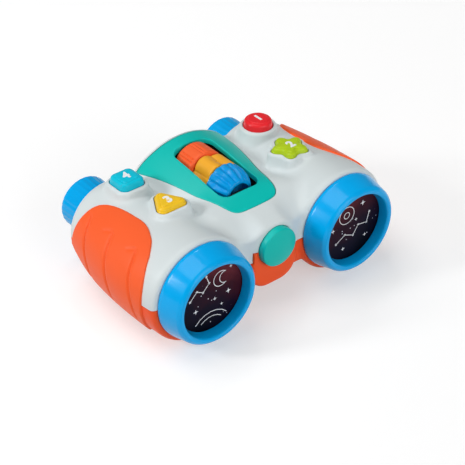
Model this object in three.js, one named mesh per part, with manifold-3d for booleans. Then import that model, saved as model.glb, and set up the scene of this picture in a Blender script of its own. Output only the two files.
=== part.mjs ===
// Toy binoculars: two fat barrels on a bridge, with press buttons and spinning rollers.
// Millimetres, +Z up, the big lenses look along -Y. Sizes are measured from the barrel axis,
// and the finished group is lifted so that the barrels stand on Z = 0.

import * as THREE from 'three';
import Module from 'manifold-3d';

const wasm = await Module();
wasm.setup();

// Overall size
const BARREL_LENGTH = 95.6;
const BARREL_SPACING = 110;
const WALL = 2.2;
const CLEARANCE = 0.3;
const PARTING_GAP = 0.3;

// Barrels. A share gives a place along the barrel, from 0 at its front to 1 at its back
const RING_LENGTH = 16.4;
const EYECUP_LENGTH = 22;
const BELLY_SHARE = 0.299;
const BELLY_HALF_WIDTH = 36.3;
const TAIL_HALF_WIDTH = 27.1;
const FRONT_TOP = 33.4;
const TAIL_TOP = 27.4;
const BOTTOM_RADIUS = 35.5;
const FOOT_FLAT = 1;
const HEEL_SHARE = 0.665;
const FRONT_ROUND = 2.6;
const TAIL_ROUND = 7;

// Bridge between the barrels
const BRIDGE_FRONT_RECESS = 2.1;
const BRIDGE_BACK_RECESS = 3.5;
const CREST_FRONT = 22.4;
const CREST_BACK = 39.2;
const CREST_SAG = 12.1;
const SAG_START_SHARE = 0.184;
const SAG_FULL_SHARE = 0.477;
const BRIDGE_DEPTH = 14.5;
const BRIDGE_FRONT_ROUND = 4;
const BRIDGE_BACK_ROUND = 1.4;
const BLEND = 8;
const SADDLE_FALL = 10;

// Top panel and roller window
const PANEL_THICKNESS = 2;
const PANEL_FRONT_SHARE = 0.163;
const PANEL_SHOULDER_SHARE = 0.323;
const PANEL_SHOULDER_HALF_WIDTH = 21.3;
const PANEL_BACK_HALF_WIDTH = 34;
const PANEL_BACK_RIM = 2;
const WINDOW_FRONT_SHARE = 0.305;
const WINDOW_HALF_WIDTH = 14.5;
const WINDOW_CORNER = 6;
const PANEL_CHEEK = 0.5;
const PANEL_CHIN = 0.56;

// Rollers
const ROLLER_RADIUS = 14.1;
const ROLLER_LENGTH_SHARE = 0.159;
const ROLLER_GAP = 0.6;
const ROLLER_EDGE = 1.8;
const ROLLER_AXIS_Z = 25.2;
const ROLLER_NOSE_INSET = 5;
const ROLLER_NOSE_LENGTH = 7;
const AXLE_RADIUS = 2;
const CRADLE_WALL = 1.6;
const CRADLE_RUNNING_GAP = 1.1;
const CRADLE_FOOT_HALF_WIDTH = 9;
const CRADLE_FOOT_LENGTH = 3;
const WAVE_COUNT = 16;
const WAVE_DEPTH = 1.4;
const LOBE_COUNT = 5;
const LOBE_DEPTH = 2.8;
const RIB_COUNT = 18;
const RIB_DEPTH = 1;

// Buttons
const BUTTON_TRAVEL = 2;
const BUTTON_BOSS_TOP = 34;
const BUTTON_BOSS_FLOOR = 25;
const BUTTON_BOSS_BASE = 22;
const BUTTON_COLLAR = 2.6;
const REAR_COLLAR_FLARE = 5;
const TRIANGLE_COLLAR_FLARE = 3.5;
const STAR_COLLAR_FLARE = 1.5;
const BUTTON_ROUND = 2;
const BUTTON_STEM_LENGTH = 0.6;
const BUTTON_FLANGE = 1.6;
const BUTTON_FLANGE_THICKNESS = 1.5;
const BUTTON_STEM_RADIUS = 3;
const REAR_BUTTON_X = 51.2;
const REAR_BUTTON_SHARE = 0.78;
const STAR_BUTTON_X = 48;
const TRIANGLE_BUTTON_X = 46.1;
const FRONT_BUTTON_SHARE = 0.43;
const ROUND_BUTTON_RADIUS = 9;
const SQUARE_BUTTON_SIDE = 17.2;
const SQUARE_BUTTON_CORNER = 4.4;
const TRIANGLE_BUTTON_RADIUS = 6.9;
const TRIANGLE_BUTTON_CORNER = 3.9;
const STAR_BUTTON_RADIUS = 10.1;
const STAR_BUTTON_LOBE = 1.7;
const STAR_BUTTON_POINTS = 5;
const TALL_BUTTON_RISE = 5.2;
const LOW_BUTTON_RISE = 3.6;

// Switch boards under the buttons
const BOARD_THICKNESS = 1.6;
const BUTTON_BOARD_HALF_WIDTH = 12;
const BUTTON_BOARD_MARGIN = 8;
const TACT_SWITCH_SIDE = 7;
const TACT_SWITCH_HEIGHT = 3.3;
const TACT_PLUNGER_HEIGHT = 1;
const BOARD_POST_RADIUS = 3;
const BOARD_POST_X = 50;
const BOARD_POST_SHARE = 0.603;

// Lens rings and what is behind them
const RING_OPENING_RADIUS = 24.2;
const RING_RIM_RADIUS = 28.8;
const RING_BASE_RADIUS = 31.5;
const RING_SPIGOT_RADIUS = 28.6;
const RING_BORE_RADIUS = 26.2;
const RING_BASE_BAND = 2.4;
const RING_RIM_ROUND = 1.8;
const LENS_DEPTH = 7;
const LENS_LIP = 1.2;
const LENS_THICKNESS = 2;
const REFLECTOR_LENGTH = 7.6;
const REFLECTOR_WALL = 1.6;
const REFLECTOR_THROAT = 17;
const LED_RADIUS = 2.5;
const LED_HEIGHT = 5;
const RIB_THICKNESS = 2;
const RIB_HOLE_RADIUS = 22;

// Eyecups
const EYECUP_RADIUS = 17.3;
const EYECUP_NECK_RADIUS = 16.6;
const EYECUP_LIP_RADIUS = 13.6;
const EYECUP_SPIGOT_RADIUS = 14;
const EYECUP_SPIGOT_LENGTH = 4;
const EYECUP_BORE_RADIUS = 11;
const EYECUP_FLUTES = 14;
const EYECUP_FLUTE_DEPTH = 0.5;
const EYE_LENS_RADIUS = 12.3;
const EYE_LENS_THICKNESS = 2;
const EYE_LENS_DEPTH = 16;
const EYE_LENS_CROWN = 1;
const EYECUP_ROUND = 2.2;

// Nose cap and its cup
const NOSE_Z = 7.2;
const NOSE_RADIUS = 14.2;
const NOSE_CUP_WALL = 4.2;
const NOSE_CUP_FROM_FRONT = 14.4;
const NOSE_CUP_DEPTH = 6.8;
const NOSE_SEAT_DEPTH = 3.6;
const NOSE_RISE = 1;
const NOSE_DOME = 5;

// Side grips
const GRIP_RISE = 1.2;
const GRIP_INLAY = 0.8;
const GRIP_TIP = { share: 0.132, arc: -26.7 };
const GRIP_WAIST = { share: 0.095, arc: 0 };
const GRIP_BROW = { share: 0.174, arc: 29.4 };
const GRIP_CROWN = { share: 0.404, arc: 42 };
const GRIP_SHOULDER = { share: 0.78, arc: 36 };
const GRIP_HEEL = { share: 0.89, arc: 12 };
const GRIP_KEEL = { share: 0.561, arc: -20.8 };
const GRIP_GROOVES = 3;
const GRIP_GROOVE_PITCH_SHARE = 0.251;
const GRIP_GROOVE_DEPTH = 0.8;
const GRIP_GROOVE_WIDTH = 1.6;
const GRIP_GROOVE_TOP = { share: 0.283, arc: 26.6 };
const GRIP_GROOVE_HOOK = 7;
const GRIP_GROOVE_LEAN = 9;
const GRIP_GROOVE_RUN = 30;

// Battery bay and power switch in the bridge floor
const BATTERY_RADIUS = 5.2;
const BATTERY_LENGTH = 44;
const BATTERY_PITCH = 10.9;
const CONTACT_THICKNESS = 0.5;
const BATTERY_NUB = 0.8;
const DOOR_BACK_MARGIN = 5.9;
const DOOR_TAB = 8;
const DOOR_SCREW_RADIUS = 1.1;
const DOOR_SCREW_HEAD_RADIUS = 2.6;
const DOOR_SCREW_HEAD_HEIGHT = 1;
const DOOR_SCREW_POST_RADIUS = 3.4;
const DOOR_SCREW_POST_HEIGHT = 5;
const DOOR_SCREW_BITE = 3;
const DOOR_LEDGE = 2;
const DOOR_LEDGE_THICKNESS = 1.6;
const TRAY_WALL = 1.5;
const MAIN_BOARD_HALF_WIDTH = 19;
const SWITCH_TRAVEL = 5;
const SWITCH_KNOB_LENGTH = 6;
const SWITCH_KNOB_WIDTH = 4.4;
const SWITCH_KNOB_DROP = 1.6;
const SWITCH_FLANGE = 1.8;
const SWITCH_FLANGE_THICKNESS = 1.2;
const SWITCH_BODY_HEIGHT = 5;

// Speaker in the back wall
const SPEAKER_RADIUS = 13;
const SPEAKER_DEPTH = 5.4;
const SPEAKER_Z = 15.5;
const SPEAKER_SLOTS = 5;
const SPEAKER_SLOT_WIDTH = 1.8;
const SPEAKER_SLOT_PITCH = 4;

// Case screws
const POST_LEAN = 0.468;
const FRONT_POST_SHARE = 0.226;
const REAR_POST_SHARE = 0.707;
const POST_RADIUS = 4.6;
const SCREW_HEAD_RADIUS = 3;
const SCREW_HEAD_HEIGHT = 2.4;
const SCREW_SHANK_RADIUS = 1.4;
const SCREW_SEAT_DEPTH = 10;
const SCREW_BITE = 7;

// Facets
const FINE = { bridge: 2, inner: 4, outer: 5, along: 6, rounded: true };
const COARSE = { bridge: 1, inner: 2, outer: 3, along: 3, rounded: false };
const ROUND_STEPS = 24;
const DISC_STEPS = 20;
const SMALL_STEPS = 10;
const DOME_STEPS = 3;
const CURVE_STEPS = 5;
const CORNER_STEPS = 2;
const LEAF_ROWS = 8;
const GROOVE_STEPS = 5;
const LEAF_COLUMNS = 7;
const STAR_STEPS = 4;
const STEP_LENGTH = 0.3;
const WELD = 0.004;
const OVERCUT = 1;
const FAR = 200;

// Places worked out from the driving dimensions
const LENGTH = RING_LENGTH + BARREL_LENGTH + EYECUP_LENGTH;
const FRONT = -LENGTH / 2;
const BACK = LENGTH / 2;
const BARREL_X = BARREL_SPACING / 2;
const BARREL_FRONT = FRONT + RING_LENGTH;
const BARREL_BACK = BACK - EYECUP_LENGTH;
const BRIDGE_FRONT = BARREL_FRONT + BRIDGE_FRONT_RECESS;
const BRIDGE_BACK = BARREL_BACK - BRIDGE_BACK_RECESS;
const alongBarrel = (share) => BARREL_FRONT + share * BARREL_LENGTH;
const BELLY_Y = alongBarrel(BELLY_SHARE);
const HEEL_Y = alongBarrel(HEEL_SHARE);
const BOARD_POST_Y = alongBarrel(BOARD_POST_SHARE);

// The barrels stand on flats; a flat's half width is a share of the barrel's own half width
const AXIS_HEIGHT = BOTTOM_RADIUS - FOOT_FLAT;
const FOOT_LEAN = Math.sqrt(1 - (AXIS_HEIGHT / BOTTOM_RADIUS) ** 2);

const { clamp, lerp, smoothstep } = THREE.MathUtils;

// Finishes
const WHITE = { color: 0xdfe4e6, roughness: 0.4, metalness: 0 };
const ORANGE = { color: 0xfa5f2d, roughness: 0.42, metalness: 0 };
const BLUE = { color: 0x0aa0ee, roughness: 0.35, metalness: 0 };
const MINT = { color: 0x1fc0b0, roughness: 0.4, metalness: 0 };
const RED = { color: 0xf03038, roughness: 0.35, metalness: 0 };
const GREEN = { color: 0xb4d635, roughness: 0.35, metalness: 0 };
const YELLOW = { color: 0xfbc63c, roughness: 0.35, metalness: 0 };
const TEAL = { color: 0x22c3d4, roughness: 0.35, metalness: 0 };
const LENS_DARK = { color: 0x140a1c, roughness: 0.12, metalness: 0 };
const CLEAR = { color: 0xcfe3ea, roughness: 0.05, metalness: 0 };
const GREY = { color: 0x8c9196, roughness: 0.5, metalness: 0 };
const DARK = { color: 0x24272a, roughness: 0.55, metalness: 0 };
const BOARD_GREEN = { color: 0x1d6a3a, roughness: 0.5, metalness: 0 };
const STEEL = { color: 0xb8bcc0, roughness: 0.3, metalness: 1 };

const binoculars = new THREE.Group();
binoculars.position.z = AXIS_HEIGHT;

// Number each corner of a geometry, so that corners closer than the weld distance share one
function weldCorners(position) {
  const corners = [];
  const cells = new Map();
  const key = (x, y, z) => `${x},${y},${z}`;
  const around = [-1, 0, 1];
  const owners = [];
  for (let i = 0; i < position.count; i++) {
    const point = new THREE.Vector3().fromBufferAttribute(position, i);
    const [cx, cy, cz] = point.toArray().map((value) => Math.floor(value / WELD));
    const near = around.flatMap((dx) => around.flatMap((dy) => around.flatMap((dz) => (
      cells.get(key(cx + dx, cy + dy, cz + dz)) ?? []))));
    let owner = near.find((index) => corners[index].distanceTo(point) < WELD);
    if (owner === undefined) {
      owner = corners.push(point) - 1;
      cells.set(key(cx, cy, cz), [...(cells.get(key(cx, cy, cz)) ?? []), owner]);
    }
    owners.push(owner);
  }
  return { corners, owners };
}

// Corners and triangles of a closed geometry, welded, with all faces turned outwards
function welded(geometry) {
  const { corners, owners } = weldCorners(geometry.getAttribute('position'));
  const index = geometry.getIndex().array;
  const faces = new Map();
  for (let i = 0; i < index.length; i += 3) {
    const face = [owners[index[i]], owners[index[i + 1]], owners[index[i + 2]]];
    const name = [...face].sort((a, b) => a - b).join();
    if (new Set(face).size < 3) continue;
    if (faces.has(name)) faces.delete(name);
    else faces.set(name, face);
  }
  const triangles = [...faces.values()];
  const volume = triangles.reduce(
    (sum, [a, b, c]) => sum + corners[a].dot(corners[b].clone().cross(corners[c])), 0);
  const triVerts = triangles.flat();
  if (volume < 0) triVerts.reverse();
  return {
    vertProperties: new Float32Array(corners.flatMap((corner) => corner.toArray())),
    triVerts: new Uint32Array(triVerts),
  };
}

function meshGeometry({ vertProperties, triVerts }) {
  const geometry = new THREE.BufferGeometry();
  geometry.setAttribute('position', new THREE.BufferAttribute(new Float32Array(vertProperties), 3));
  geometry.setIndex(new THREE.BufferAttribute(new Uint32Array(triVerts), 1));
  return geometry;
}

// Turn a closed geometry into a solid that can be joined and cut
function solid(geometry) {
  return new wasm.Manifold(new wasm.Mesh({ numProp: 3, ...welded(geometry) }));
}

// Put a finished solid into the scene as a named piece
function addPiece(name, shape, finish) {
  const geometry = meshGeometry(welded(meshGeometry(shape.getMesh())));
  geometry.computeVertexNormals();
  const piece = new THREE.Mesh(geometry, new THREE.MeshStandardMaterial(finish));
  piece.name = name;
  binoculars.add(piece);
}

function joined(shapes) {
  return shapes.reduce((whole, shape) => whole.add(shape));
}

function box(x0, x1, y0, y1, z0, z1) {
  const geometry = new THREE.BoxGeometry(x1 - x0, y1 - y0, z1 - z0);
  geometry.translate((x0 + x1) / 2, (y0 + y1) / 2, (z0 + z1) / 2);
  return solid(geometry);
}

// Round bar along Z
function post(x, y, radius, z0, z1, steps = SMALL_STEPS) {
  const geometry = new THREE.CylinderGeometry(radius, radius, z1 - z0, steps);
  geometry.rotateX(Math.PI / 2);
  geometry.translate(x, y, (z0 + z1) / 2);
  return solid(geometry);
}

// Round bar along Y
function bar(x, z, radius, y0, y1, steps = ROUND_STEPS) {
  const geometry = new THREE.CylinderGeometry(radius, radius, y1 - y0, steps);
  geometry.translate(x, (y0 + y1) / 2, z);
  return solid(geometry);
}

// Turned piece along Y, from a profile of [radius, y] pairs that closes on itself or on the axis
function turned(profile, x, z, steps = ROUND_STEPS) {
  const points = profile.map(([radius, y]) => new THREE.Vector2(radius, y));
  const onAxis = points[0].x === 0 && points[points.length - 1].x === 0;
  if (!onAxis) points.push(points[0].clone());
  const geometry = new THREE.LatheGeometry(points, steps);
  geometry.translate(x, 0, z);
  return solid(geometry);
}

// Profile of a rounded end: from full radius at y to the axis at y + rise
function dome(radius, y, rise) {
  const points = [];
  for (let i = 0; i < DOME_STEPS; i++) {
    const angle = Math.PI / 2 * i / DOME_STEPS;
    points.push([radius * Math.cos(angle), y + rise * Math.sin(angle)]);
  }
  return [...points, [0, y + rise]];
}

// Outlines are lists of plan points that run counter-clockwise
function outlineOf(shape, divisions) {
  const points = shape.getPoints(divisions);
  const last = points[points.length - 1];
  if (last.distanceTo(points[0]) < 1e-6) points.pop();
  return THREE.ShapeUtils.isClockWise(points) ? points.reverse() : points;
}

// Outline moved outwards by a distance, with mitred corners
function grown(outline, distance) {
  const normalOf = (from, to) => new THREE.Vector2(to.y - from.y, from.x - to.x).normalize();
  return outline.map((point, i) => {
    const before = normalOf(outline[(i + outline.length - 1) % outline.length], point);
    const after = normalOf(point, outline[(i + 1) % outline.length]);
    const mitre = before.clone().add(after).divideScalar(1 + before.dot(after));
    return point.clone().addScaledVector(mitre, distance);
  });
}

function shifted(outline, x, y) {
  return outline.map((point) => new THREE.Vector2(point.x + x, point.y + y));
}

// Solid lofted up Z through outlines with the same number of points
function loftGeometry(layers) {
  const count = layers[0].outline.length;
  const vertices = layers.flatMap(({ outline, z }) => outline.flatMap((point) => [point.x, point.y, z]));
  const faces = [];
  for (let layer = 0; layer + 1 < layers.length; layer++) {
    for (let i = 0; i < count; i++) {
      const a = layer * count + i;
      const b = layer * count + (i + 1) % count;
      faces.push(a, b, b + count, a, b + count, a + count);
    }
  }
  const top = (layers.length - 1) * count;
  for (const [a, b, c] of THREE.ShapeUtils.triangulateShape(layers[0].outline, [])) faces.push(c, b, a);
  const lid = layers[layers.length - 1].outline;
  for (const [a, b, c] of THREE.ShapeUtils.triangulateShape(lid, [])) faces.push(top + a, top + b, top + c);
  const geometry = new THREE.BufferGeometry();
  geometry.setAttribute('position', new THREE.Float32BufferAttribute(vertices, 3));
  geometry.setIndex(faces);
  return geometry;
}

function loft(layers) {
  return solid(loftGeometry(layers));
}

function prism(outline, z0, z1) {
  return loft([{ outline, z: z0 }, { outline, z: z1 }]);
}

// Body shape: how far an edge rounded to a radius has drawn in at a distance from its end
function edgeInset(distance, radius) {
  const depth = clamp(radius - distance, 0, radius);
  return radius - Math.sqrt(radius ** 2 - depth ** 2);
}

// Greater of two heights, with a soft valley where they cross
function smoothMax(a, b, blend) {
  const overlap = Math.max(blend - Math.abs(a - b), 0);
  return Math.max(a, b) + overlap ** 2 / (4 * blend);
}

// Half axes of one barrel's section at a station, grown outwards by a skin thickness
function barrelSection(y, growth) {
  const frontInset = edgeInset(y - (BARREL_FRONT - growth), FRONT_ROUND);
  const tailInset = edgeInset(BARREL_BACK + growth - y, TAIL_ROUND);
  const skin = growth - frontInset - tailInset;
  const fromBelly = (y - BELLY_Y) / (BARREL_BACK - BELLY_Y);
  const outer = BELLY_HALF_WIDTH - (BELLY_HALF_WIDTH - TAIL_HALF_WIDTH) * fromBelly ** 2;
  const top = lerp(FRONT_TOP, TAIL_TOP, (y - BARREL_FRONT) / (BARREL_BACK - BARREL_FRONT));
  const fromHeel = Math.max(y - HEEL_Y, 0) / (BARREL_BACK - HEEL_Y);
  const bottom = BOTTOM_RADIUS - (BOTTOM_RADIUS - TAIL_TOP) * fromHeel ** 2;
  return { outer: outer + skin, inner: top + skin, top: top + skin, bottom: bottom + skin };
}

function bridgeInset(y, growth) {
  const front = edgeInset(y - (BRIDGE_FRONT - growth), BRIDGE_FRONT_ROUND);
  const back = edgeInset(BRIDGE_BACK + growth - y, BRIDGE_BACK_ROUND);
  return front + back;
}

// Height of the bridge's crowned roof, which bows across and rises to the back
function bridgeRoof(x, y, growth) {
  const fromBack = (BRIDGE_BACK - y) / (BRIDGE_BACK - BRIDGE_FRONT);
  const crest = CREST_BACK - (CREST_BACK - CREST_FRONT) * fromBack ** 2;
  const sag = CREST_SAG * smoothstep(y, alongBarrel(SAG_START_SHARE), alongBarrel(SAG_FULL_SHARE));
  const bow = sag * (x / PANEL_BACK_HALF_WIDTH) ** 2;
  const fall = SADDLE_FALL * smoothstep(x, BARREL_X / 2, BARREL_X);
  return crest - bow - fall + growth - bridgeInset(y, growth);
}

// Height of the roof, or depth of the floor, over one plan point
function bodyReach(side, x, y, growth, bridged) {
  const section = barrelSection(y, growth);
  const lean = (x - BARREL_X) / (x < BARREL_X ? section.inner : section.outer);
  const arc = Math.sqrt(Math.max(1 - lean ** 2, 0));
  const barrel = arc * (side > 0 ? section.top : section.bottom);
  const inBridge = bridged && x < BARREL_X;
  const floor = BRIDGE_DEPTH + growth - bridgeInset(y, growth);
  const bridge = side > 0 ? bridgeRoof(x, y, growth) : floor;
  const reach = inBridge ? smoothMax(barrel, bridge, BLEND) : barrel;
  const limit = side > 0 ? FAR : AXIS_HEIGHT + growth;
  return arc < 1e-6 && !inBridge ? 0 : Math.min(reach, limit);
}

// Stations along the body, with a sharp step where the bridge starts and ends
function bodyStations(growth, steps) {
  const front = BARREL_FRONT - growth;
  const back = BARREL_BACK + growth;
  const bridgeFront = BRIDGE_FRONT - growth;
  const bridgeBack = BRIDGE_BACK + growth;
  const places = [front, back - TAIL_ROUND / 2, back - TAIL_ROUND / 8, back];
  places.push(bridgeFront - STEP_LENGTH, bridgeFront, bridgeBack, bridgeBack + STEP_LENGTH);
  if (steps.rounded) places.push(front + FRONT_ROUND / 4, bridgeFront + BRIDGE_FRONT_ROUND / 4);
  const first = bridgeFront + BRIDGE_FRONT_ROUND;
  const last = bridgeBack - BRIDGE_BACK_ROUND;
  for (let i = 0; i <= steps.along; i++) places.push(lerp(first, last, i / steps.along));
  places.sort((a, b) => a - b);
  const inBridge = (y) => y > bridgeFront - STEP_LENGTH / 2 && y < bridgeBack + STEP_LENGTH / 2;
  return places.map((y) => ({ y, bridged: inBridge(y) }));
}

// One row of plan points across the body, from the left barrel's side to the right one's
function bodyRow(side, growth, steps, { y, bridged }) {
  const { inner, outer } = barrelSection(y, growth);
  const innerEdge = BARREL_X - inner;
  const places = [];
  const quarter = Math.PI / 2;
  for (let i = 0; i < steps.bridge; i++) places.push(innerEdge * i / steps.bridge);
  for (let i = 0; i < steps.inner; i++) places.push(BARREL_X - inner * Math.cos(quarter * i / steps.inner));
  for (let i = 0; i <= steps.outer; i++) places.push(BARREL_X + outer * Math.sin(quarter * i / steps.outer));
  if (side < 0) places.push(BARREL_X - inner * FOOT_LEAN, BARREL_X + outer * FOOT_LEAN);
  places.sort((a, b) => a - b);
  const right = places.map((x, i) => {
    const rim = i === places.length - 1;
    return { x, y, reach: rim ? 0 : bodyReach(side, x, y, growth, bridged) };
  });
  const left = right.slice(1).reverse().map(({ x, reach }) => ({ x: -x, y, reach }));
  return [...left, ...right];
}

// Upper (side 1) or lower (side -1) half of the body as one solid on the parting plane
function bodyHalf(side, growth, steps = FINE) {
  const rows = bodyStations(growth, steps).map((station) => bodyRow(side, growth, steps, station));
  const columns = rows[0].length;
  const vertices = [];
  const faces = [];
  for (const point of rows.flat()) vertices.push(point.x, point.y, side * point.reach, point.x, point.y, 0);
  const skin = (row, column) => 2 * (row * columns + column);
  const flat = (corners) => corners.every(([row, column]) => rows[row][column].reach === 0);
  const addPair = (corners) => {
    if (flat(corners)) return;
    const [a, b, c] = corners.map(([row, column]) => skin(row, column));
    faces.push(a, b, c, a + 1, c + 1, b + 1);
  };
  const addEnd = (row, column) => {
    const a = skin(row, column);
    const b = skin(row, column + 1);
    if (row === 0) faces.push(a, a + 1, b + 1, a, b + 1, b);
    else faces.push(a, b + 1, a + 1, a, b, b + 1);
  };
  for (let column = 0; column + 1 < columns; column++) {
    for (let row = 0; row + 1 < rows.length; row++) {
      addPair([[row, column], [row, column + 1], [row + 1, column + 1]]);
      addPair([[row, column], [row + 1, column + 1], [row + 1, column]]);
    }
    if (!flat([[0, column], [0, column + 1]])) addEnd(0, column);
    const end = rows.length - 1;
    if (!flat([[end, column], [end, column + 1]])) addEnd(end, column);
  }
  const geometry = new THREE.BufferGeometry();
  geometry.setAttribute('position', new THREE.Float32BufferAttribute(vertices, 3));
  geometry.setIndex(faces);
  return solid(geometry);
}

// Plan outlines
function roundedRectangle(halfWidth, y0, y1, corner) {
  const shape = new THREE.Shape();
  shape.absarc(halfWidth - corner, y1 - corner, corner, 0, Math.PI / 2);
  shape.absarc(corner - halfWidth, y1 - corner, corner, Math.PI / 2, Math.PI);
  shape.absarc(corner - halfWidth, y0 + corner, corner, Math.PI, Math.PI * 1.5);
  shape.absarc(halfWidth - corner, y0 + corner, corner, Math.PI * 1.5, Math.PI * 2);
  return outlineOf(shape, CORNER_STEPS);
}

function polarOutline(radiusAt, count) {
  const points = [];
  for (let i = 0; i < count; i++) {
    const angle = Math.PI / 2 + 2 * Math.PI * i / count;
    const radius = radiusAt(angle - Math.PI / 2);
    points.push(new THREE.Vector2(radius * Math.cos(angle), radius * Math.sin(angle)));
  }
  return points;
}

function panelOutline() {
  const back = BRIDGE_BACK - PANEL_BACK_RIM;
  const shoulder = alongBarrel(PANEL_SHOULDER_SHARE);
  const front = alongBarrel(PANEL_FRONT_SHARE);
  const slope = (PANEL_BACK_HALF_WIDTH - PANEL_SHOULDER_HALF_WIDTH) / (back - shoulder);
  const cheekY = lerp(shoulder, front, PANEL_CHEEK);
  const cheekX = PANEL_SHOULDER_HALF_WIDTH - slope * (shoulder - cheekY);
  const chinX = PANEL_SHOULDER_HALF_WIDTH * PANEL_CHIN;
  const shape = new THREE.Shape();
  shape.moveTo(PANEL_BACK_HALF_WIDTH, back);
  shape.lineTo(-PANEL_BACK_HALF_WIDTH, back);
  shape.lineTo(-PANEL_SHOULDER_HALF_WIDTH, shoulder);
  shape.bezierCurveTo(-cheekX, cheekY, -chinX, front, 0, front);
  shape.bezierCurveTo(chinX, front, cheekX, cheekY, PANEL_SHOULDER_HALF_WIDTH, shoulder);
  return outlineOf(shape, CURVE_STEPS);
}

// Rollers stand in a row inside the window, with an end wall of the cradle at either end
const ROLLER_LENGTH = ROLLER_LENGTH_SHARE * BARREL_LENGTH;
const WINDOW_FRONT = alongBarrel(WINDOW_FRONT_SHARE);
const ROLLERS_FRONT = WINDOW_FRONT + CLEARANCE + CRADLE_WALL + ROLLER_GAP;
const ROLLERS_BACK = ROLLERS_FRONT + 3 * ROLLER_LENGTH + 2 * ROLLER_GAP;
const WINDOW_BACK = ROLLERS_BACK + ROLLER_GAP + CRADLE_WALL + CLEARANCE;
const PANEL = panelOutline();
const WINDOW = roundedRectangle(WINDOW_HALF_WIDTH, WINDOW_FRONT, WINDOW_BACK, WINDOW_CORNER);

// Levels under the buttons, from the boss down to the switch board
const FLANGE_TOP = BUTTON_BOSS_FLOOR - CLEARANCE;
const FLANGE_BOTTOM = FLANGE_TOP - BUTTON_FLANGE_THICKNESS;
const STEM_BOTTOM = FLANGE_BOTTOM - BUTTON_STEM_LENGTH;
const PLUNGER_TOP = STEM_BOTTOM - BUTTON_TRAVEL - CLEARANCE;
const TACT_BOTTOM = PLUNGER_TOP - TACT_PLUNGER_HEIGHT - TACT_SWITCH_HEIGHT;
const BUTTON_BOARD_TOP = TACT_BOTTOM - CLEARANCE;

function triangleOutline() {
  const shape = new THREE.Shape();
  for (let i = 0; i < 3; i++) {
    const angle = Math.PI / 2 + i * Math.PI * 2 / 3;
    const x = TRIANGLE_BUTTON_RADIUS * Math.cos(angle);
    const y = TRIANGLE_BUTTON_RADIUS * Math.sin(angle);
    shape.absarc(x, y, TRIANGLE_BUTTON_CORNER, angle - Math.PI / 3, angle + Math.PI / 3);
  }
  return outlineOf(shape, CORNER_STEPS + 1);
}

const REAR_BUTTON_Y = alongBarrel(REAR_BUTTON_SHARE);
const FRONT_BUTTON_Y = alongBarrel(FRONT_BUTTON_SHARE);
const starRadius = (angle) => STAR_BUTTON_RADIUS + STAR_BUTTON_LOBE * Math.cos(STAR_BUTTON_POINTS * angle);
const BUTTONS = [
  {
    name: 'round_button', x: REAR_BUTTON_X, y: REAR_BUTTON_Y, finish: RED,
    rise: TALL_BUTTON_RISE, flare: REAR_COLLAR_FLARE,
    outline: polarOutline(() => ROUND_BUTTON_RADIUS, DISC_STEPS),
  },
  {
    name: 'star_button', x: STAR_BUTTON_X, y: FRONT_BUTTON_Y, finish: GREEN,
    rise: LOW_BUTTON_RISE, flare: STAR_COLLAR_FLARE,
    outline: polarOutline(starRadius, STAR_STEPS * STAR_BUTTON_POINTS),
  },
  {
    name: 'square_button', x: -REAR_BUTTON_X, y: REAR_BUTTON_Y, finish: TEAL,
    rise: TALL_BUTTON_RISE, flare: REAR_COLLAR_FLARE,
    outline: roundedRectangle(
      SQUARE_BUTTON_SIDE / 2, -SQUARE_BUTTON_SIDE / 2, SQUARE_BUTTON_SIDE / 2, SQUARE_BUTTON_CORNER),
  },
  {
    name: 'triangle_button', x: -TRIANGLE_BUTTON_X, y: FRONT_BUTTON_Y, finish: YELLOW,
    rise: LOW_BUTTON_RISE, flare: TRIANGLE_COLLAR_FLARE,
    outline: triangleOutline(),
  },
];
for (const button of BUTTONS) button.outline = shifted(button.outline, button.x, button.y);

// Lens stack inside each ring, from the lip back to the light board and the rib behind it
const LENS_FRONT = FRONT + LENS_DEPTH + CLEARANCE;
const LENS_BACK = LENS_FRONT + LENS_THICKNESS;
const REFLECTOR_FRONT = LENS_BACK + CLEARANCE;
const REFLECTOR_BACK = REFLECTOR_FRONT + REFLECTOR_LENGTH;
const LIGHT_BOARD_FRONT = REFLECTOR_BACK + CLEARANCE;
const LIGHT_BOARD_BACK = LIGHT_BOARD_FRONT + BOARD_THICKNESS;
const RIB_FRONT = LIGHT_BOARD_BACK + CLEARANCE;
const RING_FIT_RADIUS = RING_BORE_RADIUS - CLEARANCE;

// Nose cup on the front of the bridge
const NOSE_CUP_FRONT = FRONT + NOSE_CUP_FROM_FRONT;
const NOSE_CUP_BACK = NOSE_CUP_FRONT + NOSE_CUP_DEPTH;
const NOSE_CUP_RADIUS = NOSE_RADIUS + NOSE_CUP_WALL;
const NOSE_SEAT_BACK = NOSE_CUP_FRONT + NOSE_SEAT_DEPTH;

// Battery bay levels and edges
const FLOOR_OUTSIDE = -BRIDGE_DEPTH;
const FLOOR_INSIDE = FLOOR_OUTSIDE + WALL;
const DOOR_TOP = FLOOR_INSIDE - CLEARANCE;
const BATTERY_Z = DOOR_TOP + CLEARANCE + BATTERY_RADIUS;
const DOOR_BACK = BRIDGE_BACK - DOOR_BACK_MARGIN;
const BAY_HALF_WIDTH = BATTERY_PITCH / 2 + BATTERY_RADIUS + CLEARANCE;
const BAY_BACK = DOOR_BACK - DOOR_TAB - DOOR_LEDGE;
const BATTERY_BACK = BAY_BACK - CONTACT_THICKNESS - 2 * CLEARANCE;
const BATTERY_FRONT = BATTERY_BACK - BATTERY_LENGTH;
const BAY_FRONT = BATTERY_FRONT - CONTACT_THICKNESS - 2 * CLEARANCE;
const DOOR_HALF_WIDTH = BAY_HALF_WIDTH + DOOR_LEDGE;
const DOOR_FRONT = BAY_FRONT - DOOR_LEDGE;
const DOOR_RIM = DOOR_LEDGE + CLEARANCE;
const DOOR_SCREW_Y = BAY_BACK + (DOOR_LEDGE + DOOR_TAB) / 2;
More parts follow.
